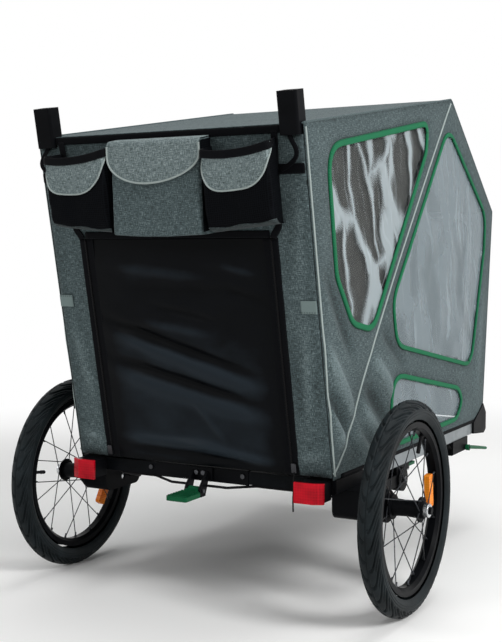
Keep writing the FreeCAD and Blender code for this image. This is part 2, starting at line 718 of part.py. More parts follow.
def brake_pedal():
    """The foot pedal: a hub between the ears, a web and a ribbed tread."""
    y, z = PEDAL_PIVOT
    inside = EAR_X[0] - HEM_GAP
    y1 = PEDAL_Y1
    y0 = y1 - PEDAL_L
    sleeve = rod((-inside, y, z), (inside, y, z), PEDAL_HUB_R)
    web = box(-inside, inside, y1 - PEDAL_T / 2, y, z - PEDAL_T / 2, z + PEDAL_T / 2)
    tread = box(-PEDAL_HALF, PEDAL_HALF, y0, y1, z - PEDAL_T, z)
    tread = tread.makeFillet(PEDAL_ROUND, [e for e in tread.Edges if e.BoundBox.ZLength > LAP])
    ribs = []
    pitch = PEDAL_L / PEDAL_RIBS
    wide = PEDAL_HALF - PEDAL_EDGE
    for k in range(PEDAL_RIBS):
        start = y0 + pitch * (k + 0.25)
        ribs.append(box(-wide, wide, start, start + pitch / 2, z - LAP, z + PEDAL_RIB_H))
    pedal = joined(sleeve, web, tread, *ribs)
    return pedal.cut(rod((-PEDAL_HALF, y, z), (PEDAL_HALF, y, z), PEDAL_PIN_R + RUN_GAP))


def brake_cables():
    """Two cables clipped under the rear bar, from the pedal bracket to the brake pins."""
    z = RAIL_Z - SLEEVE_WALL - HEM_GAP - CABLE_R
    y = REAR_FACE + TUBE / 2
    low_y = SLEEVE_FACE - PEDAL_HUB_R
    pin_y = LOCK_CIRCLE_R
    x = BRACKET_X
    low_z = z - CABLE_DROP
    route = ((EAR_X[1], low_y, low_z), (SLEEVE_HALF - CABLE_BACK, low_y, low_z),
             (SLEEVE_HALF + CABLE_CLEAR, y, z), (x - CABLE_TURN[0], y, z),
             (x - CABLE_TURN[1], pin_y, AXLE_Z), (x, pin_y, AXLE_Z))
    return pair(swept(bent_path(route, CABLE_BEND), CABLE_R))


def brake_pin():
    """The sliding pin that drops into a hole of the wheel's drum."""
    x = hub_ends()[0] - BRAKE_PIN_GAP
    return rod((x - BRAKE_PIN_L, LOCK_CIRCLE_R, AXLE_Z), (x, LOCK_CIRCLE_R, AXLE_Z), BRAKE_PIN_R)


def rear_lenses():
    """Red reflectors at the rear corners, each bent round to the side."""
    a, b, c = LENS_X
    back = REAR_FACE - LENS_BACK
    face = back - LENS_T
    outline = ((a, face), (b, face), (c, face + LENS_SWEEP), (c, back + LENS_SWEEP), (b, back), (a, back))
    return pair(flat_prism(outline, *LENS_Z))


def reflector_housings():
    """The black housings that carry the lenses on the rear bar."""
    a, b, c = LENS_X
    back = REAR_FACE - LENS_BACK
    a += LENS_EDGE
    swept_y = back + LENS_SWEEP * (c - LENS_EDGE - b) / (c - b)
    c -= LENS_EDGE
    outline = ((a, back), (b, back), (c, swept_y), (c, REAR_FACE), (a, REAR_FACE))
    return pair(flat_prism(outline, LENS_Z[0] + LENS_EDGE, LENS_Z[1] - LENS_EDGE))


# Folding hoops

def hoop(half, reach):
    """A bent tube hoop standing on its two pivot eyes at the origin."""
    foot = EYE_LUG_R / 3
    path = bent_path(((half, 0, foot), (half, 0, reach), (-half, 0, reach), (-half, 0, foot)), HOOP_BEND)
    tube = pipe(path, HOOP_R, HOOP_WALL)
    eyes = []
    for x in (half, -half):
        eyes.append(rod((x - EYE_LUG_HALF, 0, 0), (x + EYE_LUG_HALF, 0, 0), EYE_LUG_R))
    side = half + EYE_LUG_HALF + LAP
    holes = rod((-side, 0, 0), (side, 0, 0), PIVOT_BOLT_R + RUN_GAP)
    return joined(tube, *eyes).cut(holes)


def slope_normal():
    """The outward normal of the front slope, along Y and Z."""
    dy = KNEE[0] - PEAK[0]
    dz = KNEE[1] - PEAK[1]
    length = math.hypot(dy, dz)
    return -dz / length, dy / length


def rear_hoop():
    """The rear hoop, which carries the rear wall."""
    return placed(hoop(HOOP_X, WALL_H - PIVOT_UP - ROOF_GAP), REAR_LEAN, *REAR_PIVOT)


def diagonal_hoop():
    """The long hoop from the rear corners to the peak, just under the front slope."""
    out_y, out_z = slope_normal()
    dy = PEAK[0] - REAR_PIVOT[0]
    dz = PEAK[1] - REAR_PIVOT[1]
    reach = dy * out_y + dz * out_z - COVER_T - SLOPE_GAP - HOOP_R - ROOF_GAP / 2
    rise = math.degrees(math.atan2(dz, dy))
    print("diagonal hoop", round(rise, 3), "degrees, reach", round(reach, 2))
    return placed(hoop(HOOP_X - HOOP_STEP, reach), rise - 90, *REAR_PIVOT)


def front_hoop():
    """The front hoop, from the front corners to the knee."""
    out_y, out_z = slope_normal()
    depth = (KNEE[0] - FRONT_PIVOT[0]) * out_y + (KNEE[1] - FRONT_PIVOT[1]) * out_z
    reach = (depth - COVER_T - SLOPE_GAP - HOOP_R) / (FRONT_SIN * out_y + FRONT_COS * out_z)
    return placed(hoop(HOOP_X - 2 * HOOP_STEP, reach), -FRONT_LEAN, *FRONT_PIVOT)


def pivot_bolt(start, end, head, place):
    """A pivot bolt along X at a (y, z) place, with its head beyond one end."""
    y, z = place
    shank = rod((start, y, z), (end, y, z), PIVOT_BOLT_R)
    near = end if head > 0 else start
    cap = rod((near, y, z), (near + head, y, z), BOLT_HEAD_R)
    return joined(shank, cap)


def hoop_bolts():
    """The four pivot bolts of the hoops, with their heads."""
    rear = pivot_bolt(REAR_LUG_X, HOOP_X + HOOP_R, -BOLT_HEAD_T, REAR_PIVOT)
    start = HOOP_X - 2 * HOOP_STEP - HOOP_R
    front = pivot_bolt(start, FRONT_LUG_X + LUG_T, BOLT_HEAD_T, FRONT_PIVOT)
    return [rear, front, mirrored(rear), mirrored(front)]


# Cover

def rounded_outline(points, radius, x):
    """A closed outline at X whose corners are rounded."""
    loop = [Vec(x, y, z) for y, z in points]
    count = len(loop)
    edges = []
    cuts = []
    for k in range(count):
        back = (loop[k - 1] - loop[k]).normalize()
        ahead = (loop[(k + 1) % count] - loop[k]).normalize()
        half = back.getAngle(ahead) / 2
        reach = radius / math.tan(half)
        middle = loop[k] + (back + ahead).normalize() * (radius / math.sin(half) - radius)
        cuts.append((loop[k] + back * reach, middle, loop[k] + ahead * reach))
    for k in range(count):
        start, middle, end = cuts[k]
        edges.append(Part.Arc(start, middle, end).toShape())
        edges.append(Part.LineSegment(end, cuts[(k + 1) % count][0]).toShape())
    return Part.Wire(edges)


def window_wires(x):
    """The outlines of the three windows of one side."""
    return [rounded_outline(w, WINDOW_ROUND, x) for w in (WINDOW_REAR, WINDOW_FRONT, WINDOW_LOW)]


def side_cover():
    """One side of the fabric cover, with its window openings."""
    hem = RAIL_TOP + HEM_GAP
    rear_y = WALL_Y + (WALL_Z - hem) * LEAN_SIN / LEAN_COS
    front_y = FRONT_Y - (WALL_Z - hem) * FRONT_SIN / FRONT_COS
    panel = prism(((rear_y, hem), REAR_TOP, PEAK, KNEE, (front_y, hem)), SIDE_IN, HALF_W)
    for wire in window_wires(SIDE_IN - LAP):
        panel = panel.cut(Part.Face(wire).extrude(Vec(COVER_T + 2 * LAP, 0, 0)))
    return panel


def window_films():
    """The clear films that fill the side windows."""
    films = []
    x = SIDE_IN + (COVER_T - FILM_T) / 2
    for wire in window_wires(x):
        film = Part.Face(wire).extrude(Vec(FILM_T, 0, 0))
        films.extend([film, mirrored(film)])
    return Part.makeCompound(films)


def window_bindings():
    """The coloured bindings sewn round the windows."""
    rings = []
    for wire in window_wires(HALF_W):
        outer = Part.Face(wire.makeOffset2D(BINDING_OUT))
        ring = outer.cut(Part.Face(wire.makeOffset2D(-BINDING_IN))).extrude(Vec(BINDING_T, 0, 0))
        rings.extend([ring, mirrored(ring)])
    return Part.makeCompound(rings)


def inset_line(a, b, depth):
    """The two ends of a line moved inwards, to its right going from a to b."""
    dy = b[0] - a[0]
    dz = b[1] - a[1]
    length = math.hypot(dy, dz)
    shift = (dz / length * depth, -dy / length * depth)
    return (a[0] + shift[0], a[1] + shift[1]), (b[0] + shift[0], b[1] + shift[1])


def meeting(p, q, r, s):
    """Where the line through p and q meets the line through r and s."""
    d1 = (q[0] - p[0], q[1] - p[1])
    d2 = (s[0] - r[0], s[1] - r[1])
    cross = d1[0] * d2[1] - d1[1] * d2[0]
    t = ((r[0] - p[0]) * d2[1] - (r[1] - p[1]) * d2[0]) / cross
    return p[0] + d1[0] * t, p[1] + d1[1] * t


def top_panels():
    """The roof and the front slope, which lie between the two sides and meet at the peak."""
    half = SIDE_IN - HEM_GAP
    roof_a, roof_b = inset_line(REAR_TOP, PEAK, COVER_T)
    slope_a, slope_b = inset_line(PEAK, KNEE, COVER_T)
    ridge = meeting(roof_a, roof_b, slope_a, slope_b)
    roof = prism((REAR_TOP, PEAK, ridge, roof_a), -half, half)
    slope = prism((PEAK, KNEE, slope_b, ridge), -half, half)
    room = socket_block(HEM_GAP * 2)
    return roof.cut(Part.makeCompound([room, mirrored(room)])), slope


def front_panel():
    """The fabric front, which stands just under the front slope."""
    half = SIDE_IN - HEM_GAP
    low = front_point(0, WALL_FOOT)
    low_in = front_point(COVER_T, WALL_FOOT)
    slope_a, slope_b = inset_line(PEAK, KNEE, COVER_T + HEM_GAP)
    high = meeting(low, KNEE, slope_a, slope_b)
    inner = front_point(COVER_T, KNEE_H)
    high_in = meeting(low_in, inner, slope_a, slope_b)
    return prism((low, high, high_in, low_in), -half, half)


def piping():
    """Round piping up the rear corners and along the diagonals of both sides."""
    x = HALF_W + PIPING_R
    foot = wall_point(0, PIVOT_UP / 2)
    top = wall_point(HOOP_R, WALL_H - PIPING_R * 2)
    low = wall_point(PIPING_R * 2, PIPING_R * 2)
    corner = rod((x, low[0], low[1]), (x, top[0], top[1]), PIPING_R)
    start = Vec(x, *foot)
    way = Vec(x, *PEAK) - start
    length = way.Length
    way.normalize()
    diagonal = rod(start + way * PIPING_LOW, start + way * (length - PIPING_HIGH), PIPING_R)
    return pair(joined(corner, diagonal))


# Rear wall and what it carries, modelled upright with the outer face at Y = 0

def rear_wall():
    """The rear wall round the door, with notches for the handle sockets."""
    half = SIDE_IN - SIDE_GAP
    wall = box(-half, half, 0, COVER_T, WALL_FOOT, WALL_H - HEM_GAP)
    edge = DOOR_HALF + DOOR_GAP
    wall = wall.cut(box(-edge, edge, -LAP, COVER_T + LAP, 0, DOOR_TOP + DOOR_HEAD))
    x = HOOP_X + HOOP_R - SOCKET_W - DOOR_GAP
    notch = box(x, half + LAP, -LAP, COVER_T + LAP, SOCKET_BASE - DOOR_GAP, WALL_H + LAP)
    return on_wall(wall.cut(Part.makeCompound([notch, mirrored(notch)])))


def rear_door():
    """The coated door panel between the zips."""
    return on_wall(box(-DOOR_HALF, DOOR_HALF, 0, COVER_T, DOOR_FOOT, DOOR_TOP))


def zip_tapes(inner_edge):
    """The pair of zip tapes that start at a distance from the middle."""
    tape = box(inner_edge, inner_edge + ZIP_W, -ZIP_T, 0, DOOR_FOOT, DOOR_TOP)
    return on_wall(pair(tape))


def zip_sliders():
    """Two zip sliders at the bottom of the zips."""
    x = DOOR_HALF + DOOR_GAP + SLIDER_OUT
    slider = box(x, x + SLIDER_W, -ZIP_T - SLIDER_T, -ZIP_T - RUN_GAP, SLIDER_UP, SLIDER_UP + SLIDER_L)
    slider = slider.makeFillet(SLIDER_ROUND, [e for e in slider.Edges if e.BoundBox.YLength > LAP])
    return on_wall(pair(slider))


def zip_pull_cord():
    """The short pull cord that hangs from the right slider."""
    corners = [Vec(*p) for p in PULL_CORD_ROUTE]
    edges = []
    last = corners[0]
    for before, corner, after in zip(corners, corners[1:], corners[2:]):
        cut = 0.45 * min((before - corner).Length, (after - corner).Length)
        back = (before - corner).normalize()
        ahead = (after - corner).normalize()
        half = back.getAngle(ahead) / 2
        radius = cut * math.tan(half)
        print("pull cord radius", round(radius, 1))
        start = corner + back * cut
        end = corner + ahead * cut
        middle = corner + (back + ahead).normalize() * (radius / math.sin(half) - radius)
        edges.append(Part.LineSegment(last, start).toShape())
        edges.append(Part.Arc(start, middle, end).toShape())
        last = end
    edges.append(Part.LineSegment(last, corners[-1]).toShape())
    path = Part.Wire(edges)
    cord = swept(path, PULL_CORD_D / 2)
    section = math.pi * PULL_CORD_D ** 2 / 4
    ratio = cord.Volume / (section * path.Length)
    print("pull cord volume ratio", round(ratio, 4), "length", round(path.Length, 1))
    return cord


def pocket_body(x0, x1, low, high, fronts, back, radius):
    """A wedge between two fronts, rounded along its lower front edge and its two upright front edges."""
    deep, shallow = fronts
    body = prism(((back, low), (deep, low), (shallow, high), (back, high)), x0, x1)
    wanted = [e for e in body.Edges if e.BoundBox.YMax < shallow + LAP and e.CenterOfMass.z < high - LAP]
    return body.makeFillet(radius, wanted)


def pocket(x0, x1, top, mouth, depth):
    """An open-topped pocket on the rear wall that is deeper at its floor than at its mouth."""
    t = POCKET_T
    low = POCKET_FLOOR
    step = t * (1 + (depth - mouth) / (top - low))
    outer = pocket_body(x0, x1, low, top, (-depth, -mouth), 0, POCKET_ROUND)
    fronts = (step - depth, step - mouth)
    return outer.cut(pocket_body(x0 + t, x1 - t, low + t, top + t, fronts, t, POCKET_ROUND - t))


def side_pockets():
    """The two mesh-fronted pockets beside the middle one."""
    return on_wall(pair(pocket(*SIDE_POCKET)))


def centre_pocket():
    """The deeper middle pocket, which has a flap."""
    half, top, mouth, depth = CENTRE_POCKET
    return on_wall(pocket(-half, half, top, mouth, depth))


def pocket_flap():
    """The flap of the middle pocket: a lid from the wall, then a round-ended drop down the pocket's front."""
    half, top, mouth, depth = CENTRE_POCKET
    low = top + HEM_GAP
    outer = -mouth - HEM_GAP
    lid = box(-half, half, outer - FLAP_T, -HEM_GAP, low, low + FLAP_T)
    sides = Part.makePolygon([Vec(-half, -FLAP_SIDE, 0), Vec(-half, FLAP_T, 0), Vec(half, FLAP_T, 0),
                              Vec(half, -FLAP_SIDE, 0)])
    oval = Part.Ellipse(Vec(0, -FLAP_SIDE, 0), half, FLAP_POINT - FLAP_SIDE)
    chin = Part.Arc(oval, math.pi, 2 * math.pi).toShape()
    drop = Part.Face(Part.Wire(sides.Edges + [chin])).extrude(Vec(0, 0, FLAP_T))
    slope = math.degrees(math.atan2(depth - mouth, top - POCKET_FLOOR))
    return on_wall(joined(lid, placed(drop, 90 - slope, outer, low)))


def socket_block(room):
    """The outer block of the right handle socket, grown by some room, in its place."""
    x1 = HOOP_X + HOOP_R
    y0 = -SOCKET_D / 2 + HOOP_IN / 2
    return on_wall(box(x1 - SOCKET_W - room, x1 + room, y0 - room, y0 + SOCKET_D + room,
                       SOCKET_BASE - room, SOCKET_TOP + room))


def handle_sockets():
    """Moulded knuckles on the corners of the rear hoop, each with a bore for a push handle."""
    x = HOOP_X + HOOP_R - SOCKET_W / 2
    y0 = HOOP_IN / 2
    bore = on_wall(rod((x, y0, SOCKET_TOP - HANDLE_BORE_L), (x, y0, SOCKET_TOP + LAP), HANDLE_BORE_R))
    reach = WALL_H - PIVOT_UP - ROOF_GAP
    path = bent_path(((HOOP_X, 0, 0), (HOOP_X, 0, reach), (0, 0, reach)), HOOP_BEND)
    channel = placed(swept(path, HOOP_R), REAR_LEAN, *REAR_PIVOT)
    block = socket_block(0)
    upright = [e for e in block.Edges if abs(e.Length - (SOCKET_TOP - SOCKET_BASE)) < NEAR]
    block = block.makeFillet(SOCKET_ROUND, upright)
    return pair(block.cut(bore).cut(channel))


# Drawbar and its sockets

def drawbar_sockets():
    """The two clamp blocks under the front of the rails."""
    half = CLAMP_W / 2
    low = SOCKET_Z - DRAWBAR_R - CLAMP_WALL
    block = box(SOCKET_X - half, SOCKET_X + half, CLAMP_Y0, CLAMP_Y1, low, RAIL_Z)
    under = [e for e in block.Edges if e.BoundBox.YLength > CLAMP_L / 2 and e.BoundBox.ZMax < RAIL_Z - LAP]
    block = block.makeFillet(CLAMP_WALL, under)
    start = (SOCKET_X, CLAMP_Y0 - LAP, SOCKET_Z)
    bore = rod(start, (SOCKET_X, CLAMP_Y1 + LAP, SOCKET_Z), DRAWBAR_R + RUN_GAP)
    y, z = LEVER_PIN
    reach = LEVER_HALF + LEVER_EYE_HALF + LAP
    pins = [rod((SOCKET_X - reach, y, z), (SOCKET_X - half + LAP, y, z), LEVER_ROD_R),
            rod((SOCKET_X + half - LAP, y, z), (SOCKET_X + reach, y, z), LEVER_ROD_R)]
    return pair(joined(block, *pins).cut(bore))


def socket_lever():
    """The clamp lever of the right socket: a bail of round rod with an eye on each pin."""
    y, z = LEVER_PIN
    a = SOCKET_X - LEVER_HALF
    b = SOCKET_X + LEVER_HALF
    tip_y = y + LEVER_REACH
    tip_z = z - LEVER_FALL
    path = bent_path(((a, y, z), (a, tip_y, tip_z), (b, tip_y, tip_z), (b, y, z)), LEVER_BEND)
    bail = swept(path, LEVER_ROD_R)
    eyes = []
    for x in (a, b):
        eyes.append(rod((x - LEVER_EYE_HALF, y, z), (x + LEVER_EYE_HALF, y, z), 2 * LEVER_ROD_R))
    side = LEVER_EYE_HALF + LAP
    return joined(bail, *eyes).cut(rod((a - side, y, z), (b + side, y, z), LEVER_ROD_R + RUN_GAP))


def bracket_lever():
    """The small release lever on the front of the right axle bracket."""
    y, z = RELEASE_PIN
    x0 = RELEASE_X - RELEASE_HALF
    x1 = RELEASE_X + RELEASE_HALF
    half = RELEASE_T / 2
    arm = box(x0, x1, y - LAP, y + RELEASE_L, z - half, z + half)
    arm = arm.makeFillet(RELEASE_ROUND, [e for e in arm.Edges if e.BoundBox.ZLength > LAP])
    eye = rod((x0, y, z), (x1, y, z), RELEASE_EYE_R)
    return joined(arm, eye).cut(rod((x0 - LAP, y, z), (x1 + LAP, y, z), RELEASE_PIN_R + RUN_GAP))


def drawbar_stub():
    """The tube held in the left socket, with the fork of the drawbar's hinge."""
    x = -SOCKET_X
    start = CLAMP_Y1 - STUB_IN
    tube = rod((x, start, SOCKET_Z), (x, STUB_END, SOCKET_Z), DRAWBAR_R)
    hollow = rod((x, start - LAP, SOCKET_Z), (x, STUB_END - HINGE_R, SOCKET_Z), DRAWBAR_R - DRAWBAR_WALL)
    tube = tube.cut(hollow)
    cheeks = []
    for x0 in (x - FORK_GAP / 2 - FORK_T, x + FORK_GAP / 2):
        x1 = x0 + FORK_T
        plate = box(x0, x1, STUB_END - HINGE_R, HINGE_Y, SOCKET_Z - HINGE_R, SOCKET_Z + HINGE_R)
        nose = rod((x0, HINGE_Y, SOCKET_Z), (x1, HINGE_Y, SOCKET_Z), HINGE_R)
        cheeks.append(joined(plate, nose))
    fork = joined(tube, *cheeks)
    side = FORK_GAP + FORK_T
    return fork.cut(rod((x - side, HINGE_Y, SOCKET_Z), (x + side, HINGE_Y, SOCKET_Z), HINGE_PIN_R))


def drawbar_pin():
    """The hinge pin of the drawbar, with a head on each end."""
    x = -SOCKET_X
    side = FORK_GAP / 2 + FORK_T
    pin = rod((x - side, HINGE_Y, SOCKET_Z), (x + side, HINGE_Y, SOCKET_Z), HINGE_PIN_R)
    heads = []
    for x0 in (x - side - HINGE_HEAD_T, x + side):
        heads.append(rod((x0, HINGE_Y, SOCKET_Z), (x0 + HINGE_HEAD_T, HINGE_Y, SOCKET_Z), HINGE_HEAD_R))
    return joined(pin, *heads)


def on_arm(shape):
    """A piece modelled along +Y from the hinge, sloped down to the ground."""
    shape.rotate(Vec(0, 0, 0), Vec(1, 0, 0), -ARM_SLOPE)
    shape.translate(Vec(-SOCKET_X, HINGE_Y, SOCKET_Z))
    return shape


def drawbar_arm():
    """The towing arm: a tongue in the fork and a tube bent towards the middle."""
    bend_y = 2 * HINGE_R
    route = ((0, bend_y, 0), (0, bend_y + ARM_BEND, 0), (ARM_INWARD, ARM_END - ARM_BEND, 0),
             (ARM_INWARD, ARM_END, 0))
    tube = pipe(bent_path(route, ARM_BEND), DRAWBAR_R, DRAWBAR_WALL)
    half = FORK_GAP / 2 - HEM_GAP
    tongue = rod((-half, 0, 0), (half, 0, 0), HINGE_R)
    web = box(-half, half, 0, TONGUE_L, LAP - DRAWBAR_R, DRAWBAR_R - LAP)
    arm = joined(tube, tongue, web)
    return on_arm(arm.cut(rod((-FORK_GAP, 0, 0), (FORK_GAP, 0, 0), HINGE_PIN_R + RUN_GAP)))


def hitch_coupling():
    """The coupling that turns in the end of the arm and bolts to the bicycle through its eye."""
    x = ARM_INWARD
    spigot = rod((x, ARM_END - SPIGOT_L, 0), (x, ARM_END + LAP, 0), DRAWBAR_R - DRAWBAR_WALL - RUN_GAP)
    collar = rod((x, ARM_END + HEM_GAP, 0), (x, ARM_END + COLLAR_L, 0), COLLAR_R)
    neck = box(x - NECK_HALF, x + NECK_HALF, ARM_END + COLLAR_L - LAP, ARM_L, -NECK_HALF, NECK_HALF)
    eye = rod((x - EYE_HALF, ARM_L, 0), (x + EYE_HALF, ARM_L, 0), EYE_R)
    whole = joined(spigot, collar, neck, eye)
    return on_arm(whole.cut(rod((x - EYE_R, ARM_L, 0), (x + EYE_R, ARM_L, 0), EYE_BORE_R)))


def all_parts():
    """Every piece of the trailer by name, still placed from the axle."""
    parts = {
        "cross_bars": cross_bars(),
        "rear_bar_sleeve": rear_bar_sleeve(),
        "side_rails": side_rails(),
        "rear_corner_blocks": rear_corner_blocks(),
        "front_corner_caps": front_corner_caps(),
        "floor_board": floor_plate(BOARD_INSET, RAIL_Z + CROSS_H, BOARD_T),
        "floor_mat": floor_mat(),
        "axle_brackets": axle_brackets(),
        "frame_bolts": frame_bolts(),
        "wheel_axles": wheel_axles(),
        "brake_bracket": brake_bracket(),
        "brake_pedal": brake_pedal(),
        "brake_cables": brake_cables(),
        "rear_lenses": rear_lenses(),
        "reflector_housings": reflector_housings(),
        "rear_hoop": rear_hoop(),
        "diagonal_hoop": diagonal_hoop(),
        "front_hoop": front_hoop(),
        "side_cover_right": side_cover(),
        "side_cover_left": mirrored(side_cover()),
        "front_panel": front_panel(),
        "window_films": window_films(),
        "window_bindings": window_bindings(),
        "piping": piping(),
        "rear_wall": rear_wall(),
        "rear_door": rear_door(),
        "wall_zip_tapes": zip_tapes(DOOR_HALF + DOOR_GAP),
        "door_zip_tapes": zip_tapes(DOOR_HALF - ZIP_W),
        "zip_sliders": zip_sliders(),
        "zip_pull_cord": zip_pull_cord(),
        "side_pockets": side_pockets(),
        "centre_pocket": centre_pocket(),
        "pocket_flap": pocket_flap(),
        "handle_sockets": handle_sockets(),
        "drawbar_sockets": drawbar_sockets(),
        "socket_lever_right": socket_lever(),
        "socket_lever_left": mirrored(socket_lever()),
        "bracket_lever_right": bracket_lever(),
        "bracket_lever_left": mirrored(bracket_lever()),
        "drawbar_stub": drawbar_stub(),
        "drawbar_arm": drawbar_arm(),
        "hitch_coupling": hitch_coupling(),
    }
    parts["cover_roof"], parts["front_slope"] = top_panels()
    wheel = {"tyre": tyre, "rim": rim, "spokes": spokes, "hub": hub, "wheel_bearings": bearings,
             "release_button": release_button, "brake_pin": brake_pin}
    for name, make in wheel.items():
        parts[name + "_right"] = make()
        parts[name + "_left"] = mirrored(make())
    parts["wheel_reflectors_right"] = wheel_reflectors(REFLECTOR_ANGLE["right"])
    parts["wheel_reflectors_left"] = mirrored(wheel_reflectors(REFLECTOR_ANGLE["left"]))
    return parts


def write_parts():
    """Centre the model over its box and write one file for each piece."""
    parts = all_parts()
    whole = FreeCAD.BoundBox()
    for shape in parts.values():
        whole.add(shape.BoundBox)
    middle = (whole.YMin + whole.YMax) / 2
    os.makedirs("parts", exist_ok=True)
    for name, shape in parts.items():
        shape.translate(Vec(0, -middle, 0))
        shape.exportStep(os.path.join("parts", name + ".step"))
    print("axle at y", round(-middle, 4), "box", whole)
    print(len(parts), "pieces")


write_parts()
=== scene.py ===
"""Dog bike trailer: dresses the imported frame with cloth, film, tape, tyres and finishes.

Metres. X points right, Y forward and Z up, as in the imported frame. Cloth pieces carry a UV map in metres,
so that weaves and stitches follow the surface at their real size.
"""

import logging
import math
from dataclasses import dataclass, field
from enum import Enum
from typing import Any, Sequence

import bpy
import numpy as np
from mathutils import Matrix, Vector, geometry


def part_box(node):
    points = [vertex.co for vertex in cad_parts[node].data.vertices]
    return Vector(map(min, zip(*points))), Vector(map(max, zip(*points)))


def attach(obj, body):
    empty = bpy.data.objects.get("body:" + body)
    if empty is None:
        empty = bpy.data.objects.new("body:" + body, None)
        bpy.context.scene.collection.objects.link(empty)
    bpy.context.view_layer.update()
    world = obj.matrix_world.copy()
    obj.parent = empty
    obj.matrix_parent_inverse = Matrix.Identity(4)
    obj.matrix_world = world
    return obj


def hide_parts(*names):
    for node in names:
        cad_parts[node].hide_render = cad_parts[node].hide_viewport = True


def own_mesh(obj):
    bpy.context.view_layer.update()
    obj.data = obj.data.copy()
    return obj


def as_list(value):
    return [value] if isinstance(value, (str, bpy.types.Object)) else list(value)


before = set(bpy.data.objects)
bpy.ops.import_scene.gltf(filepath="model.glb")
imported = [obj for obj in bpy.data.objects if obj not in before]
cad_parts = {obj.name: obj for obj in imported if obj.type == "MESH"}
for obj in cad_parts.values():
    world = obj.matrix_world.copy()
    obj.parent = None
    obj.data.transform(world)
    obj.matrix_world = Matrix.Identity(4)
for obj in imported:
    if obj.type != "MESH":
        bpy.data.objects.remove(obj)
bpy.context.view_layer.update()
log = logging.getLogger("trailer")
Array = np.ndarray
Object = bpy.types.Object
Tree = bpy.types.NodeTree
Node = bpy.types.Node
Socket = bpy.types.NodeSocket
Pair = tuple[float, float]
MM = 0.001
AXLE_Y = float((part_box("tyre_right")[0][1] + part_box("tyre_right")[1][1]) / 2)
CLOTH = 0.0014


class Side(Enum):
    """The two sides of the trailer, as the sign of X."""

    RIGHT = 1
    LEFT = -1

    @property
    def word(self) -> str:
        """The side's name as the nodes spell it."""
        return self.name.lower()


# Node and colour helpers

def linear(hex_colour: str) -> tuple[float, float, float, float]:
    """Turn an sRGB hex colour into linear RGBA.

    Args:
        hex_colour: six hex digits.

    Returns:
        The linear colour with an alpha of one.
    """
    values = np.array([int(hex_colour[k:k + 2], 16) / 255 for k in (0, 2, 4)])
    low = values / 12.92
    high = ((values + 0.055) / 1.055) ** 2.4
    return (*np.where(values <= 0.04045, low, high).tolist(), 1.0)


def fill(tree: Tree, node: Node, inputs: dict[Any, Any]) -> None:
    """Fill a node's inputs: a socket, or a node for its first output, is linked, and other values are set."""
    for name, value in inputs.items():
        if isinstance(value, Node):
            value = value.outputs[0]
        if isinstance(value, Socket):
            tree.links.new(value, node.inputs[name])
        else:
            node.inputs[name].default_value = value


def add(tree: Tree, kind: str, inputs: dict[Any, Any] | None = None,
        stops: Sequence[tuple[float, str]] = (), **settings: Any) -> Node:
    """Add one node, with its settings, values and links.

    Args:
        tree: the node tree.
        kind: the node's type, without the ShaderNode prefix.
        inputs: input names or numbers, each with a value, or a socket or node to link.
        stops: for a colour ramp, places from 0 to 1, each with a hex colour.
        settings: the node's own properties.

    Returns:
        The new node.
    """
    node = tree.nodes.new("ShaderNode" + kind)
    for name, value in settings.items():
        setattr(node, name, value)
    fill(tree, node, inputs or {})
    bar = node.color_ramp.elements if stops else []
    while len(bar) < len(stops):
        bar.new(0.5)
    for element, (place, colour) in zip(bar, stops):
        element.position = place
        element.color = linear(colour)
    return node


def sees_white(tree: Tree) -> Node:
    """A node that gives 1 for rays that find plain white: camera, transmitted and glossy ones."""
    path = add(tree, "LightPath")
    seen = add(tree, "Math", {0: path.outputs["Is Camera Ray"], 1: path.outputs["Is Transmission Ray"]},
               operation="MAXIMUM")
    return add(tree, "Math", {0: seen, 1: path.outputs["Is Glossy Ray"]}, operation="MAXIMUM")


# Finishes

@dataclass(frozen=True)
class Finish:
    """A finish that builds its node material once and then hands it out."""

    name: str

    def material(self) -> bpy.types.Material:
        """The material of this finish."""
        found = bpy.data.materials.get(self.name)
        if found:
            return found
        made = bpy.data.materials.new(self.name)
        made.use_nodes = True
        tree = made.node_tree
        tree.nodes.clear()
        shader = add(tree, "BsdfPrincipled")
        add(tree, "OutputMaterial", {"Surface": shader})
        self.dress(tree, shader)
        return made

    def dress(self, tree: Tree, shader: Node) -> None:
        """Fill in the shader; each finish has its own way."""
        raise NotImplementedError

    def threads(self, tree: Tree, across_mm: float, along_mm: float) -> Node:
        """Noise drawn out along one direction of the cloth's UV map, as slubby yarn is.

        Args:
            tree: the node tree.
            across_mm: size of a mark along U.
            along_mm: size of a mark along V.

        Returns:
            The noise.
        """
        uv = add(tree, "TexCoord").outputs["UV"]
        sized = add(tree, "Mapping", {"Vector": uv, "Scale": (1 / (across_mm * MM), 1 / (along_mm * MM), 1)})
        return add(tree, "TexNoise", {"Vector": sized, "Scale": 1.0, "Detail": 2.5, "Roughness": 0.6})

    def grains(self, tree: Tree, per_metre: float, detail: float = 2.0, roughness: float = 0.5) -> Node:
        """Noise on Object coordinates.

        Args:
            tree: the node tree.
            per_metre: how many marks there are to a metre.
            detail: how many finer layers lie on it.
            roughness: how strong those are.

        Returns:
            The noise.
        """
        place = add(tree, "TexCoord").outputs["Object"]
        return add(tree, "TexNoise", {"Vector": place, "Scale": per_metre, "Detail": detail,
                                      "Roughness": roughness})


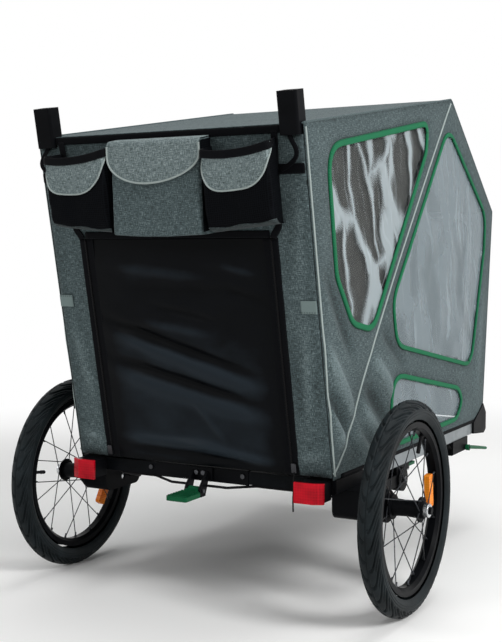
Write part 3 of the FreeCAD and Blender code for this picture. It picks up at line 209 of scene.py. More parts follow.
@dataclass(frozen=True)
class MelangeWeave(Finish):
    """Woven polyester of mixed light and dark yarn: specks and short slubs both ways, no gloss.

    The real yarn is about 0.5 mm, too fine to show, so it is drawn about two and a half times as coarse.
    A point attribute named relief, where a piece has it, paints shade into the hollows of folds and a
    highlight on their ridges.
    """

    dark: str
    middle: str
    light: str
    yarn_mm: float = 1.2
    slub_mm: float = 9.0
    weft_draw: float = 1.3
    fleck_size: float = 1.6
    fleck_share: float = 0.6
    contrast: Pair = (0.93, 1.67)
    cloud_mm: float = 70.0
    cloud_share: float = 0.14

    def dress(self, tree: Tree, shader: Node) -> None:
        """Warp, weft and fleck noise add up, are stretched in contrast, and pick from three colours."""
        warp = self.threads(tree, self.yarn_mm, self.slub_mm)
        weft = self.threads(tree, self.slub_mm * self.weft_draw, self.yarn_mm)
        cloud = self.threads(tree, self.cloud_mm, self.cloud_mm)
        fleck = self.threads(tree, self.yarn_mm * self.fleck_size, self.yarn_mm * self.fleck_size)
        both = add(tree, "Math", {0: warp, 1: weft}, operation="ADD")
        mixed = add(tree, "Math", {0: fleck, 1: self.fleck_share, 2: both}, operation="MULTIPLY_ADD")
        low, high = self.contrast
        even = add(tree, "MapRange", {"Value": mixed, "From Min": low, "From Max": high})
        shade = add(tree, "Math", {0: cloud, 1: self.cloud_share, 2: even}, operation="MULTIPLY_ADD")
        # Painted shade and highlight of folds: the relief attribute darkens hollows and lightens ridges.
        worn = add(tree, "Attribute", attribute_name="relief").outputs["Fac"]
        folds = add(tree, "Math", {0: worn, 1: self.cloud_share / 2}, operation="SUBTRACT")
        level = add(tree, "Math", {0: shade, 1: folds}, operation="ADD")
        colour = add(tree, "ValToRGB", {"Fac": level},
                     stops=((0.08, self.dark), (0.5, self.middle), (0.92, self.light)))
        bump = add(tree, "Bump", {"Height": mixed, "Strength": 0.3, "Distance": 0.4 * MM})
        fill(tree, shader, {"Base Color": colour, "Normal": bump, "Roughness": 0.88,
                            "Specular IOR Level": 0.12, "Sheen Weight": 0.06, "Sheen Roughness": 0.5})


@dataclass(frozen=True)
class CoatedCloth(Finish):
    """Polyester with a polyurethane coat: nearly black, a soft broad sheen and a faint cross grain.

    A point attribute named relief, where a piece has it, paints a highlight on the folds, lifting the colour
    towards the two lighter stops.
    """

    colour: str = "030405"
    # The last two colours are painted highlights of folds, reached through the relief attribute; the cloud
    # alone goes only part way to the middle one.
    worn: str = "080a0d"
    rubbed: str = "20272d"
    roughness: float = 0.36
    specular: float = 0.05
    cloud_mm: Pair = (60.0, 38.0)
    cloud_share: float = 0.3
    grain_mm: float = 2.4
    grain_length_mm: float = 12.0

    def dress(self, tree: Tree, shader: Node) -> None:
        """Large soft noise and the painted highlight on the folds shift the colour, and a fine cross grain
        makes the bump.
        """
        cloud = self.threads(tree, *self.cloud_mm)
        grain_u = self.threads(tree, self.grain_mm, self.grain_length_mm)
        grain_v = self.threads(tree, self.grain_length_mm, self.grain_mm)
        grain = add(tree, "Math", {0: grain_u, 1: grain_v}, operation="ADD")
        # The relief attribute paints the highlight on the folds.
        relief = add(tree, "Attribute", attribute_name="relief").outputs["Fac"]
        level = add(tree, "Math", {0: cloud, 1: self.cloud_share, 2: relief}, operation="MULTIPLY_ADD")
        colour = add(tree, "ValToRGB", {"Fac": level},
                     stops=((0.1, self.colour), (0.6, self.worn), (1.0, self.rubbed)))
        gloss = add(tree, "MapRange", {"Value": cloud, "From Min": 0.3, "From Max": 0.7,
                                       "To Min": self.roughness - 0.05, "To Max": self.roughness + 0.08})
        bump = add(tree, "Bump", {"Height": grain, "Strength": 0.2, "Distance": 0.25 * MM})
        fill(tree, shader, {"Base Color": colour, "Roughness": gloss, "Normal": bump,
                            "Specular IOR Level": self.specular})


@dataclass(frozen=True)
class KnitMesh(Finish):
    """Knitted spacer mesh: black yarn round small open cells, drawn at 4 mm so that the cells show."""

    yarn: str = "0b0d10"
    cell: str = "010102"
    pitch_mm: float = 4.0

    def dress(self, tree: Tree, shader: Node) -> None:
        """Voronoi cells on the UV map are the open places, and their rims the yarn."""
        uv = add(tree, "TexCoord").outputs["UV"]
        cells = add(tree, "TexVoronoi", {"Vector": uv, "Scale": 1 / (self.pitch_mm * MM), "Randomness": 0.15})
        colour = add(tree, "ValToRGB", {"Fac": cells}, stops=((0.22, self.cell), (0.42, self.yarn)))
        bump = add(tree, "Bump", {"Height": cells, "Strength": 0.6, "Distance": 0.8 * MM})
        fill(tree, shader, {"Base Color": colour, "Normal": bump, "Roughness": 0.72,
                            "Specular IOR Level": 0.03})


@dataclass(frozen=True)
class RibbedTape(Finish):
    """Woven tape: cross ribs along its length and two rows of stitches near its edges.

    U runs along the tape in metres and V across it from 0 to 1.
    """

    colour: str = "06070a"
    stitch: str = "101215"
    rib_mm: float = 2.2
    stitch_mm: float = 5.0
    stitch_gap: float = -0.35
    row_place: float = 0.36
    row_half: float = 0.045
    roughness: float = 0.74
    sheen: float = 0.02

    def dress(self, tree: Tree, shader: Node) -> None:
        """A sine along U makes ribs, and dashes of another near V 0.14 and 0.86 make stitches."""
        parts = add(tree, "SeparateXYZ", {"Vector": add(tree, "TexCoord").outputs["UV"]})
        waves = []
        for size in (self.rib_mm, self.stitch_mm):
            turn = add(tree, "Math", {0: parts, 1: 2 * math.pi / (size * MM)}, operation="MULTIPLY")
            waves.append(add(tree, "Math", {0: turn}, operation="SINE"))
        rib, dash = waves
        on = add(tree, "Math", {0: dash, 1: self.stitch_gap}, operation="GREATER_THAN")
        middle = add(tree, "Math", {0: parts.outputs[1], 1: 0.5}, operation="SUBTRACT")
        spread = add(tree, "Math", {0: middle}, operation="ABSOLUTE")
        row = add(tree, "Math", {0: spread, 1: self.row_place, 2: self.row_half}, operation="COMPARE")
        sewn = add(tree, "Math", {0: row, 1: on}, operation="MULTIPLY")
        mixed = add(tree, "Mix", {0: sewn, 6: linear(self.colour), 7: linear(self.stitch)}, data_type="RGBA")
        yarn = self.threads(tree, 3.0, 0.2)
        value = add(tree, "MapRange", {"Value": yarn, "To Min": 0.72, "To Max": 1.28})
        toned = add(tree, "HueSaturation", {"Color": mixed.outputs[2], "Value": value})
        height = add(tree, "Math", {0: sewn, 1: 2.0, 2: rib}, operation="MULTIPLY_ADD")
        bump = add(tree, "Bump", {"Height": height, "Strength": 0.45, "Distance": 0.35 * MM})
        fill(tree, shader, {"Base Color": toned, "Normal": bump, "Roughness": self.roughness,
                            "Specular IOR Level": 0.05, "Sheen Weight": self.sheen})


@dataclass(frozen=True)
class CreasedFilm(Finish):
    """Clear PVC film: see-through and glossy, with pale streaks that are painted reflections off its creases.
    """

    tint: str
    clear: float
    milky: float
    streak_mm: float
    turn_deg: float
    edge: float
    soft: float
    draw: float = 2.4
    scratch: float = 0.15
    shift: float = 0.12

    def dress(self, tree: Tree, shader: Node) -> None:
        """Borders of bent, drawn-out cells give branching streaks of uneven width, beside thin scratches."""
        uv = add(tree, "TexCoord").outputs["UV"]
        turned = add(tree, "Mapping", {"Vector": uv, "Rotation": (0, 0, math.radians(self.turn_deg))})
        warp = add(tree, "TexNoise", {"Vector": turned, "Scale": 6.0, "Detail": 2.0}).outputs["Color"]
        moved = add(tree, "VectorMath", {0: warp, 1: (self.shift, self.shift, 0.0)}, operation="MULTIPLY")
        bent = add(tree, "VectorMath", {0: turned, 1: moved}, operation="ADD")
        across = 1 / (self.streak_mm * MM)
        drawn = add(tree, "Mapping", {"Vector": bent, "Scale": (across, across / self.draw, 1)})
        noise = add(tree, "TexNoise", {"Vector": drawn, "Scale": 1.0, "Detail": 2.0, "Roughness": 0.45,
                                       "Distortion": 0.9})
        cells = add(tree, "TexVoronoi", {"Vector": drawn, "Scale": 1.0}, feature="DISTANCE_TO_EDGE")
        wide = add(tree, "MapRange", {"Value": noise, "From Min": 0.36, "From Max": 0.62, "To Min": 0.02,
                                      "To Max": self.edge})
        within = add(tree, "Math", {0: wide, 1: cells}, operation="SUBTRACT")
        soft = self.soft / 2
        streak = add(tree, "MapRange", {"Value": within, "From Min": -soft, "From Max": soft},
                     interpolation_type="SMOOTHSTEP")
        thin = add(tree, "Mapping", {"Vector": bent, "Scale": (across * 7, across / self.draw * 1.6, 1)})
        fine = add(tree, "TexNoise", {"Vector": thin, "Scale": 1.0, "Detail": 2.0})
        line = add(tree, "MapRange", {"Value": fine, "From Min": 0.58, "From Max": 0.72,
                                      "To Max": self.scratch})
        # The streaks raise the pale tint's alpha: they are painted reflections.
        streak_painted_reflection = add(tree, "MapRange", {"Value": streak, "To Min": self.clear, "To Max": self.milky})
        alpha = add(tree, "Math", {0: streak_painted_reflection, 1: line}, operation="ADD", use_clamp=True)
        bump = add(tree, "Bump", {"Height": noise, "Strength": 0.4, "Distance": 5 * MM})
        fill(tree, shader, {"Base Color": linear(self.tint), "Alpha": alpha, "Normal": bump, "Roughness": 0.2,
                            "Specular IOR Level": 0.3})


@dataclass(frozen=True)
class InsectScreen(Finish):
    """A dark sheet behind a window: painted shade standing for the shaded inside of the cabin seen through
    it.
    """

    colour: str = "242523"
    pale: str = "343431"
    cloud_mm: float = 35.0

    def dress(self, tree: Tree, shader: Node) -> None:
        """A soft cloud in the tone."""
        cloud = self.threads(tree, self.cloud_mm, self.cloud_mm)
        colour = add(tree, "ValToRGB", {"Fac": cloud}, stops=((0.3, self.colour), (0.8, self.pale)))
        fill(tree, shader, {"Base Color": colour, "Roughness": 0.9})


@dataclass(frozen=True)
class MouldedPlastic(Finish):
    """Injection-moulded nylon or ABS: even colour with a faint random cloud in tone, fine spark texture and
    rounded edges.
    """

    colour: str = "07080a"
    rubbed: str = "0d0e11"
    roughness: float = 0.42
    specular: float = 0.04
    clouds: float = 22.0
    grit_mm: float = 1.4
    edge_mm: float = 1.6

    def dress(self, tree: Tree, shader: Node) -> None:
        """Noise on Object coordinates gives the spark texture; the bevel normal rounds the tool edges."""
        grit = self.grains(tree, 1 / (self.grit_mm * MM))
        cloud = self.grains(tree, self.clouds, 3.0)
        colour = add(tree, "ValToRGB", {"Fac": cloud}, stops=((0.35, self.colour), (0.8, self.rubbed)))
        gloss = add(tree, "MapRange", {"Value": cloud, "To Min": self.roughness - 0.08,
                                       "To Max": self.roughness + 0.1})
        soft = add(tree, "Bevel", {"Radius": self.edge_mm * MM}, samples=4)
        bump = add(tree, "Bump", {"Height": grit, "Strength": 0.16, "Distance": 0.3 * MM, "Normal": soft})
        fill(tree, shader, {"Base Color": colour, "Roughness": gloss, "Normal": bump,
                            "Specular IOR Level": self.specular})


@dataclass(frozen=True)
class Metal(Finish):
    """A metal surface, bare or painted: drawn lines along Y and slight spots of wear."""

    colour: str
    worn: str
    roughness: float
    metallic: float = 1.0
    spots: float = 35.0
    line_mm: float = 1.2
    line_draw: float = 25.0
    edge_mm: float = 1.2

    def dress(self, tree: Tree, shader: Node) -> None:
        """Noise drawn out along Y makes faint drawing lines in gloss and bump, and spots shift the tone."""
        fine = 1 / (self.line_mm * MM)
        drawn = add(tree, "Mapping", {"Vector": add(tree, "TexCoord").outputs["Object"],
                                      "Scale": (fine, fine / self.line_draw, fine)})
        lines = add(tree, "TexNoise", {"Vector": drawn, "Scale": 1.0, "Detail": 3.0})
        spots = self.grains(tree, self.spots, 4.0)
        colour = add(tree, "ValToRGB", {"Fac": spots}, stops=((0.42, self.colour), (0.72, self.worn)))
        gloss = add(tree, "MapRange", {"Value": lines, "To Min": self.roughness - 0.06,
                                       "To Max": self.roughness + 0.1})
        soft = add(tree, "Bevel", {"Radius": self.edge_mm * MM}, samples=4)
        bump = add(tree, "Bump", {"Height": lines, "Strength": 0.08, "Distance": 0.2 * MM, "Normal": soft})
        fill(tree, shader, {"Base Color": colour, "Roughness": gloss, "Normal": bump,
                            "Metallic": self.metallic, "Specular IOR Level": 0.5 if self.metallic else 0.04})


@dataclass(frozen=True)
class PrismLens(Finish):
    """Acrylic reflector: clear gloss over rows of small prisms that catch the light unevenly."""

    deep: str = "7a0412"
    bright: str = "c20e22"
    prism_mm: float = 5.0
    glows: float = 30.0

    def dress(self, tree: Tree, shader: Node) -> None:
        """Voronoi cells with little randomness stand for the prisms."""
        place = add(tree, "TexCoord").outputs["Object"]
        prisms = add(tree, "TexVoronoi", {"Vector": place, "Scale": 1 / (self.prism_mm * MM),
                                          "Randomness": 0.1})
        glow = self.grains(tree, self.glows)
        level = add(tree, "Math", {0: prisms, 1: 0.5, 2: glow}, operation="MULTIPLY_ADD")
        colour = add(tree, "ValToRGB", {"Fac": level}, stops=((0.45, self.deep), (0.95, self.bright)))
        bump = add(tree, "Bump", {"Height": prisms, "Strength": 0.35, "Distance": 0.8 * MM})
        fill(tree, shader, {"Base Color": colour, "Normal": bump, "Roughness": 0.22,
                            "Specular IOR Level": 0.10})


@dataclass(frozen=True)
class TyreRubber(Finish):
    """Vulcanised rubber: dull near-black, a little dusty where it meets the road."""

    colour: str = "13181a"
    dust: str = "1e2528"
    clouds: float = 24.0
    grit_mm: float = 1.6

    def dress(self, tree: Tree, shader: Node) -> None:
        """Noise on Object coordinates gives dust and a fine grain."""
        dust = self.grains(tree, self.clouds, 5.0, 0.65)
        colour = add(tree, "ValToRGB", {"Fac": dust}, stops=((0.4, self.colour), (0.75, self.dust)))
        grit = self.grains(tree, 1 / (self.grit_mm * MM))
        bump = add(tree, "Bump", {"Height": grit, "Strength": 0.2, "Distance": 0.3 * MM})
        fill(tree, shader, {"Base Color": colour, "Normal": bump, "Roughness": 0.5,
                            "Specular IOR Level": 0.10})


@dataclass(frozen=True)
class StudioFloor(Finish):
    """A matt pale paper floor that runs out to plain white round the object, for the camera only."""

    paper: str = "fbfbfa"
    clouds: float = 3.0
    white_from: float = 1.1
    white_to: float = 2.6

    def dress(self, tree: Tree, shader: Node) -> None:
        """Near the object the paper takes shadow; further out the camera sees white, as on a paper sweep."""
        cloud = self.grains(tree, self.clouds)
        gloss = add(tree, "MapRange", {"Value": cloud, "To Min": 0.88, "To Max": 0.96})
        fill(tree, shader, {"Base Color": linear(self.paper), "Roughness": gloss, "Specular IOR Level": 0.1})
        place = add(tree, "TexCoord").outputs["Object"]
        away = add(tree, "VectorMath", {0: place}, operation="LENGTH").outputs["Value"]
        far = add(tree, "MapRange", {"Value": away, "From Min": self.white_from, "From Max": self.white_to},
                  interpolation_type="SMOOTHSTEP")
        share = add(tree, "Math", {0: far, 1: sees_white(tree)}, operation="MULTIPLY")
        white = add(tree, "Emission", {"Color": (1, 1, 1, 1), "Strength": 1.0})
        both = add(tree, "MixShader", {0: share, 1: shader, 2: white})
        output = next(n for n in tree.nodes if n.type == "OUTPUT_MATERIAL")
        fill(tree, output, {"Surface": both})


MELANGE = MelangeWeave("melange_polyester", dark="262d2e", middle="435052", light="717f81")
# A lighter copy of the melange: painted light on the pocket panels and the flap, which face up into the
# light.
LIT_POCKET_MELANGE = MelangeWeave("melange_polyester_light", dark="384243", middle="657273", light="9ca9aa")
# A darker copy of the melange: painted shade on the undersides of the side pockets.
SHADED_MELANGE = MelangeWeave("melange_polyester_underside", dark="191e1f", middle="2d3536", light="4a5355")
LINING = CoatedCloth("coated_lining", colour="24241f", worn="2c2b27", rubbed="312f2b", roughness=0.6)
DOOR_CLOTH = CoatedCloth("coated_door_cloth")
POCKET_MESH = KnitMesh("knit_spacer_mesh")
BLACK_TAPE = RibbedTape("black_woven_tape")
GREEN_TAPE = RibbedTape("green_woven_binding", colour="1a6644", stitch="124a33", roughness=0.6)
ZIP_COIL = RibbedTape("nylon_zip_coil", colour="0f0f10", stitch="18181a", rib_mm=3.4, roughness=0.4)
REFLECTIVE = RibbedTape("reflective_piping", colour="9ca7a5", stitch="8b9694", rib_mm=1.6, roughness=0.42)
GREY_TAB = RibbedTape("reflective_grey_tab", colour="71807f", stitch="5d6a69", roughness=0.45)
CORD_COVER = RibbedTape("braided_pull_cord", colour="131314", stitch="1d1d1f", rib_mm=1.4)
QUILT = CoatedCloth("quilted_floor_mat", colour="2b2d2f", worn="3a3c3e", rubbed="424446", roughness=0.7)
REAR_FILM = CreasedFilm("creased_rear_film", tint="b4c1c6", clear=0.03, milky=0.60, streak_mm=95.0, draw=2.3,
                        turn_deg=-20.0, edge=0.115, soft=0.11)
FRONT_FILM = CreasedFilm("smooth_front_film", tint="8d9ca3", clear=0.48, milky=0.60, streak_mm=120.0,
                         turn_deg=-12.0, edge=0.34, soft=0.3)
# A dark sheet of painted shade for the cabin's inside behind the rear window.
INTERIOR_SHADE = InsectScreen("dark_insect_screen")
BLACK_NYLON = MouldedPlastic("black_glass_filled_nylon")
GREEN_ABS = MouldedPlastic("green_abs", colour="0d4a2e", rubbed="145c3a", roughness=0.4, specular=0.07)
CABLE_SHEATH = MouldedPlastic("cable_sheath", colour="161617", rubbed="1f1f21", roughness=0.5)
FLOOR_SHEET = MouldedPlastic("extruded_floor_sheet", colour="26282a", rubbed="303234", roughness=0.6)
BLACK_PAINT = Metal("black_powder_coat", colour="06080a", worn="0c0e11", metallic=0.0, roughness=0.38)
GREY_ANODISED = Metal("grey_anodised_rail", colour="8d9396", worn="7d8386", metallic=0.85, roughness=0.42)
RIM_PAINT = Metal("black_rim_paint", colour="08090b", worn="0f1013", metallic=0.0, roughness=0.3)
ALUMINIUM = Metal("satin_aluminium", colour="b4b7ba", worn="9da0a3", roughness=0.34)
STAINLESS = Metal("stainless_wire", colour="c6c8ca", worn="a9abad", roughness=0.22)
BLACK_STEEL = Metal("blackened_spoke_steel", colour="3a3c40", worn="2a2b2e", roughness=0.35)
DARK_ZINC = Metal("black_zinc_screw", colour="4a4b4e", worn="37383a", roughness=0.35)
RED_LENS = PrismLens("red_reflector_acrylic")
AMBER_LENS = PrismLens("amber_reflector_acrylic", deep="c9560a", bright="ff9a2b")
RUBBER = TyreRubber("dull_tyre_rubber")

FINISHED_NODES: dict[Finish, str] = {
    BLACK_PAINT: "cross_bars drawbar_stub drawbar_arm",
    BLACK_NYLON: "rear_bar_sleeve rear_corner_blocks front_corner_caps axle_brackets brake_bracket "
                 "handle_sockets reflector_housings drawbar_sockets hub_right hub_left "
                 "release_button_right release_button_left",
    GREY_ANODISED: "side_rails",
    FLOOR_SHEET: "floor_board",
    DARK_ZINC: "frame_bolts zip_sliders",
    STAINLESS: "wheel_axles hitch_coupling wheel_bearings_right wheel_bearings_left "
               "brake_pin_right brake_pin_left",
    GREEN_ABS: "brake_pedal socket_lever_right socket_lever_left bracket_lever_right bracket_lever_left",
    CABLE_SHEATH: "brake_cables",
    RED_LENS: "rear_lenses",
    ALUMINIUM: "rear_hoop diagonal_hoop front_hoop",
    RIM_PAINT: "rim_right rim_left",
    BLACK_STEEL: "spokes_right spokes_left",
    AMBER_LENS: "wheel_reflectors_right wheel_reflectors_left",
}
CAD_FINISHES = {name: finish for finish, names in FINISHED_NODES.items() for name in names.split()}


# Mesh helpers

# Shares: of a side for an arc, of a step between rows and beside edges, and of a fold's length to its fade
ARC_SHARE = 0.47
ROW_SHARE = 0.87
EDGE_SHARE = 0.5
FOLD_FADE = 0.45


def mesh_object(name: str, points: Array, faces: Array, uv: Array, finish: Finish) -> Object:
    """Put arrays into a smooth-shaded mesh object at the origin.

    Args:
        name: the object's name.
        points: vertices, one row each.
        faces: vertex numbers, one row of three or four for each face.
        uv: a UV for each vertex.
        finish: the finish of the whole piece.

    Returns:
        The new object, linked to the scene.
    """
    sides = faces.shape[1]
    mesh = bpy.data.meshes.new(name)
    mesh.vertices.add(len(points))
    mesh.vertices.foreach_set("co", np.ascontiguousarray(points, dtype=np.float32).ravel())
    mesh.loops.add(faces.size)
    mesh.loops.foreach_set("vertex_index", np.ascontiguousarray(faces, dtype=np.int32).ravel())
    mesh.polygons.add(len(faces))
    mesh.polygons.foreach_set("loop_start", np.arange(0, faces.size, sides, dtype=np.int32))
    mesh.polygons.foreach_set("loop_total", np.full(len(faces), sides, dtype=np.int32))
    mesh.polygons.foreach_set("use_smooth", np.ones(len(faces), dtype=bool))
    layer = mesh.uv_layers.new(name="UVMap")
    layer.data.foreach_set("uv", np.ascontiguousarray(uv[faces.ravel()], dtype=np.float32).ravel())
    mesh.update(calc_edges=True)
    mesh.validate()
    mesh.materials.append(finish.material())
    made = bpy.data.objects.new(name, mesh)
    bpy.context.scene.collection.objects.link(made)
    return made


def grid_faces(rows: int, columns: int, wrap_rows: bool = False, wrap_columns: bool = False) -> Array:
    """Quads of a grid of points.

    Args:
        rows: how many points along the first parameter.
        columns: how many along the second.
        wrap_rows: whether the last row joins the first.
        wrap_columns: whether the last column joins the first.

    Returns:
        Four vertex numbers for each quad.
    """
    numbers = np.arange(rows * columns).reshape(rows, columns)
    if wrap_rows:
        numbers = np.vstack([numbers, numbers[:1]])
    if wrap_columns:
        numbers = np.hstack([numbers, numbers[:, :1]])
    quads = np.stack([numbers[:-1, :-1], numbers[1:, :-1], numbers[1:, 1:], numbers[:-1, 1:]], axis=-1)
    return quads.reshape(-1, 4)


def grid_object(name: str, points: Array, uv: Array, finish: Finish, flip: bool = False,
                wrap_rows: bool = False, wrap_columns: bool = False) -> Object:
    """Make an object from a grid of points.

    Args:
        name: the object's name.
        points: points by row, column and axis.
        uv: a UV for each point of the grid.
        finish: the piece's finish.
        flip: whether to turn the faces over.
        wrap_rows: whether the last row joins the first.
        wrap_columns: whether the last column joins the first.

    Returns:
        The new object.
    """
    faces = grid_faces(points.shape[0], points.shape[1], wrap_rows, wrap_columns)
    if flip:
        faces = faces[:, ::-1]
    return mesh_object(name, points.reshape(-1, 3), faces, uv.reshape(-1, 2), finish)


def travelled(path: Array) -> Array:
    """Distance along a path at each of its points."""
    steps = np.linalg.norm(np.diff(path, axis=0), axis=1)
    return np.concatenate([[0.0], np.cumsum(steps)])


def swept(name: str, path: Array, normal: Array, profile: Array, finish: Finish,
          closed: bool = False) -> Object:
    """Carry a closed profile along a path.

    Each profile point is moved by its first value sideways, square to the path and the normal, and by its
    second value along the normal.

    Args:
        name: the object's name.
        path: points in order.
        normal: the direction that the profile's second value follows, one for all points or one each.
        profile: closed outline of (side, out) points.
        finish: the piece's finish.
        closed: whether the path is a ring.

    Returns:
        The new object, capped where the path is open.
    """
    if closed:
        way = np.roll(path, -1, axis=0) - np.roll(path, 1, axis=0)
    else:
        way = np.gradient(path, axis=0)
    way = way / np.linalg.norm(way, axis=1, keepdims=True)
    out = np.broadcast_to(normal, path.shape).astype(float)
    out = out - way * (out * way).sum(axis=1, keepdims=True)
    out = out / np.linalg.norm(out, axis=1, keepdims=True)
    side = np.cross(way, out)
    points = path[:, None] + side[:, None] * profile[None, :, :1] + out[:, None] * profile[None, :, 1:]
    along = np.repeat(travelled(path)[:, None], len(profile), axis=1)
    across = np.repeat(np.linspace(0, 1, len(profile))[None], len(path), axis=0)
    uv = np.stack([along, across], axis=-1)
    if not closed:
        points = np.concatenate([points[:1].mean(axis=1, keepdims=True).repeat(len(profile), axis=1), points,
                                 points[-1:].mean(axis=1, keepdims=True).repeat(len(profile), axis=1)])
        uv = np.concatenate([uv[:1], uv, uv[-1:]])
    return grid_object(name, points, uv, finish, wrap_rows=closed, wrap_columns=True)


def tape_profile(width: float, height: float, count: int = 20) -> Array:
    """A flat rounded section: a superellipse whose half axes are half the width and half the height.

    Args:
        width: size sideways.
        height: size along the normal.
        count: points round the section.

    Returns:
        (side, out) points, standing on the path with their underside at zero.
    """
    turn = np.linspace(0, 2 * np.pi, count, endpoint=False)
    cos, sin = np.cos(turn), np.sin(turn)
    across = width / 2 * np.sign(cos) * np.abs(cos) ** 0.5
    up = height / 2 * (1 + np.sign(sin) * np.abs(sin) ** 0.7)
    return np.stack([across, up], axis=1)


def round_profile(radius: float, count: int = 12) -> Array:
    """A circle as (side, out) points, centred on the path."""
    turn = np.linspace(0, 2 * np.pi, count, endpoint=False)
    return radius * np.stack([np.cos(turn), np.sin(turn)], axis=1)


def crowded(count: int) -> Array:
    """Places from -1 to 1 that crowd towards both ends, as a sine does."""
    return np.sin(np.linspace(-1, 1, count) * np.pi / 2)


def crossed(first: Array, second: Array) -> list[Array]:
    """Two grids of values, the first along the rows and the second along the columns."""
    return np.meshgrid(first, second, indexing="ij")


def eased(value: Array, low: float, high: float) -> Array:
    """A smooth step from 0 at low to 1 at high."""
    t = np.clip((value - low) / (high - low), 0, 1)
    return t * t * (3 - 2 * t)


def banded(value: Array, band: Sequence[float]) -> Array:
    """A smooth band: up from 0 to 1 between its first two values, and down again between its last two."""
    return eased(value, band[0], band[1]) * (1 - eased(value, band[2], band[3]))


def rounded(corners: Sequence[Pair], radius: float, steps: int = 7) -> Array:
    """A closed outline whose corners are arcs of one radius, or smaller where a side is too short for it.

    Each arc is a quadratic curve between the two tangent points of its corner.

    Args:
        corners: corner points in order.
        radius: radius of the arcs.
        steps: points on each arc.

    Returns:
        Outline points in order.
    """
    here = np.array(corners, dtype=float)
    back = np.roll(here, 1, axis=0) - here
    ahead = np.roll(here, -1, axis=0) - here
    back /= np.linalg.norm(back, axis=1, keepdims=True)
    ahead /= np.linalg.norm(ahead, axis=1, keepdims=True)
    half = np.arccos(np.clip((back * ahead).sum(axis=1), -1, 1)) / 2
    sides = np.linalg.norm(np.roll(here, -1, axis=0) - here, axis=1)
    reach = np.minimum(radius / np.tan(half), ARC_SHARE * np.minimum(sides, np.roll(sides, 1)))[:, None]
    t = np.linspace(0, 1, steps)[None, :, None]
    start, end = (here + back * reach)[:, None], (here + ahead * reach)[:, None]
    arcs = start * (1 - t) ** 2 + here[:, None] * 2 * t * (1 - t) + end * t ** 2
    return arcs.reshape(-1, 2)


def densified(outline: Array, step: float) -> Array:
    """A closed outline with points no further apart than a step, along its own straight runs."""
    ring = np.vstack([outline, outline[:1]])
    place = travelled(ring)
    count = int(place[-1] / step)
    extra = np.linspace(0, place[-1], count, endpoint=False)
    every = np.unique(np.round(np.concatenate([place[:-1], extra]), 6))
    return np.stack([np.interp(every, place, ring[:, k]) for k in (0, 1)], axis=1)


def inside(points: Array, outline: Array) -> Array:
    """Whether each point lies in a closed outline, by counting crossings of a ray.

    Args:
        points: points, one row each.
        outline: outline points in order.

    Returns:
        One truth value for each point.
    """
    a, b = outline, np.roll(outline, -1, axis=0)
    px, py = points[:, :1], points[:, 1:]
    spans = (a[:, 1] > py) != (b[:, 1] > py)
    rise = np.where(b[:, 1] == a[:, 1], 1e-12, b[:, 1] - a[:, 1])
    crossing = a[:, 0] + (py - a[:, 1]) * (b[:, 0] - a[:, 0]) / rise
    return (spans & (px < crossing)).sum(axis=1) % 2 == 1


def edge_distance(points: Array, outline: Array) -> Array:
    """Least distance from each point to a closed outline's edges."""
    a = outline
    way = np.roll(outline, -1, axis=0) - a
    length = np.maximum((way * way).sum(axis=1), 1e-12)
    best = np.full(len(points), np.inf)
    for start, run, square in zip(a, way, length):
        t = np.clip(((points - start) @ run) / square, 0, 1)
        best = np.minimum(best, np.linalg.norm(points - start - t[:, None] * run, axis=1))
    return best


def triangulated(outline: Array, holes: Sequence[Array], step: float) -> tuple[Array, Array]:
    """Fill an outline with even triangles, leaving its holes open.

    Args:
        outline: outer outline.
        holes: outlines of the holes.
        step: about the length of a triangle's side.

    Returns:
        Flat points and triangles.
    """
    rings = [densified(r, step) for r in (outline, *holes)]
    low, high = outline.min(axis=0), outline.max(axis=0)
    xs = np.arange(low[0], high[0], step)
    ys = np.arange(low[1], high[1], step * ROW_SHARE)
    gx, gy = crossed(xs, ys)
    gx = gx + (np.arange(len(ys)) % 2) * step / 2
    inner = np.stack([gx.ravel(), gy.ravel()], axis=1)
    keep = inside(inner, outline) & (edge_distance(inner, rings[0]) > step * EDGE_SHARE)
    for hole, ring in zip(holes, rings[1:]):
        keep &= ~inside(inner, hole) & (edge_distance(inner, ring) > step * EDGE_SHARE)
    points = np.vstack([*rings, inner[keep]])
    edges: list[tuple[int, int]] = []
    start = 0
    for ring in rings:
        count = len(ring)
        edges += [(start + k, start + (k + 1) % count) for k in range(count)]
        start += count
    flat, _, faces, *_ = geometry.delaunay_2d_cdt([Vector(p) for p in points], edges, [], 0, 1e-7)
    flat = np.array([(p.x, p.y) for p in flat])
    faces = np.array([f for f in faces if len(f) == 3])
    middle = flat[faces].mean(axis=1)
    wanted = inside(middle, outline)
    for hole in holes:
        wanted &= ~inside(middle, hole)
    return flat, faces[wanted]


def flat_area(points: Array, faces: Array) -> float:
    """Area of flat triangles."""
    a, b, c = (points[faces[:, k]] for k in range(3))
    cross = (b[:, 0] - a[:, 0]) * (c[:, 1] - a[:, 1]) - (b[:, 1] - a[:, 1]) * (c[:, 0] - a[:, 0])
    return float(np.abs(cross).sum() / 2)


@dataclass(frozen=True)
class Fold:
    """A soft ridge in cloth along a line: its ends, half width and height."""

    start: Pair
    end: Pair
    width: float
    height: float


def folded(u: Array, v: Array, folds: Sequence[Fold]) -> Array:
    """Height of several folds: each is a bell across its line that fades out towards both ends.

    Args:
        u: first flat coordinate.
        v: second flat coordinate.
        folds: the folds.

    Returns:
        Height at each point.
    """
    height = np.zeros_like(u, dtype=float)
    for fold in folds:
        du, dv = fold.end[0] - fold.start[0], fold.end[1] - fold.start[1]
        length = math.hypot(du, dv)
        along = ((u - fold.start[0]) * du + (v - fold.start[1]) * dv) / length ** 2
        across = ((u - fold.start[0]) * dv - (v - fold.start[1]) * du) / length
        bell = np.exp(-(across / fold.width) ** 2)
        height += fold.height * bell * np.exp(-((along - 0.5) / FOLD_FADE) ** 4)
    return height


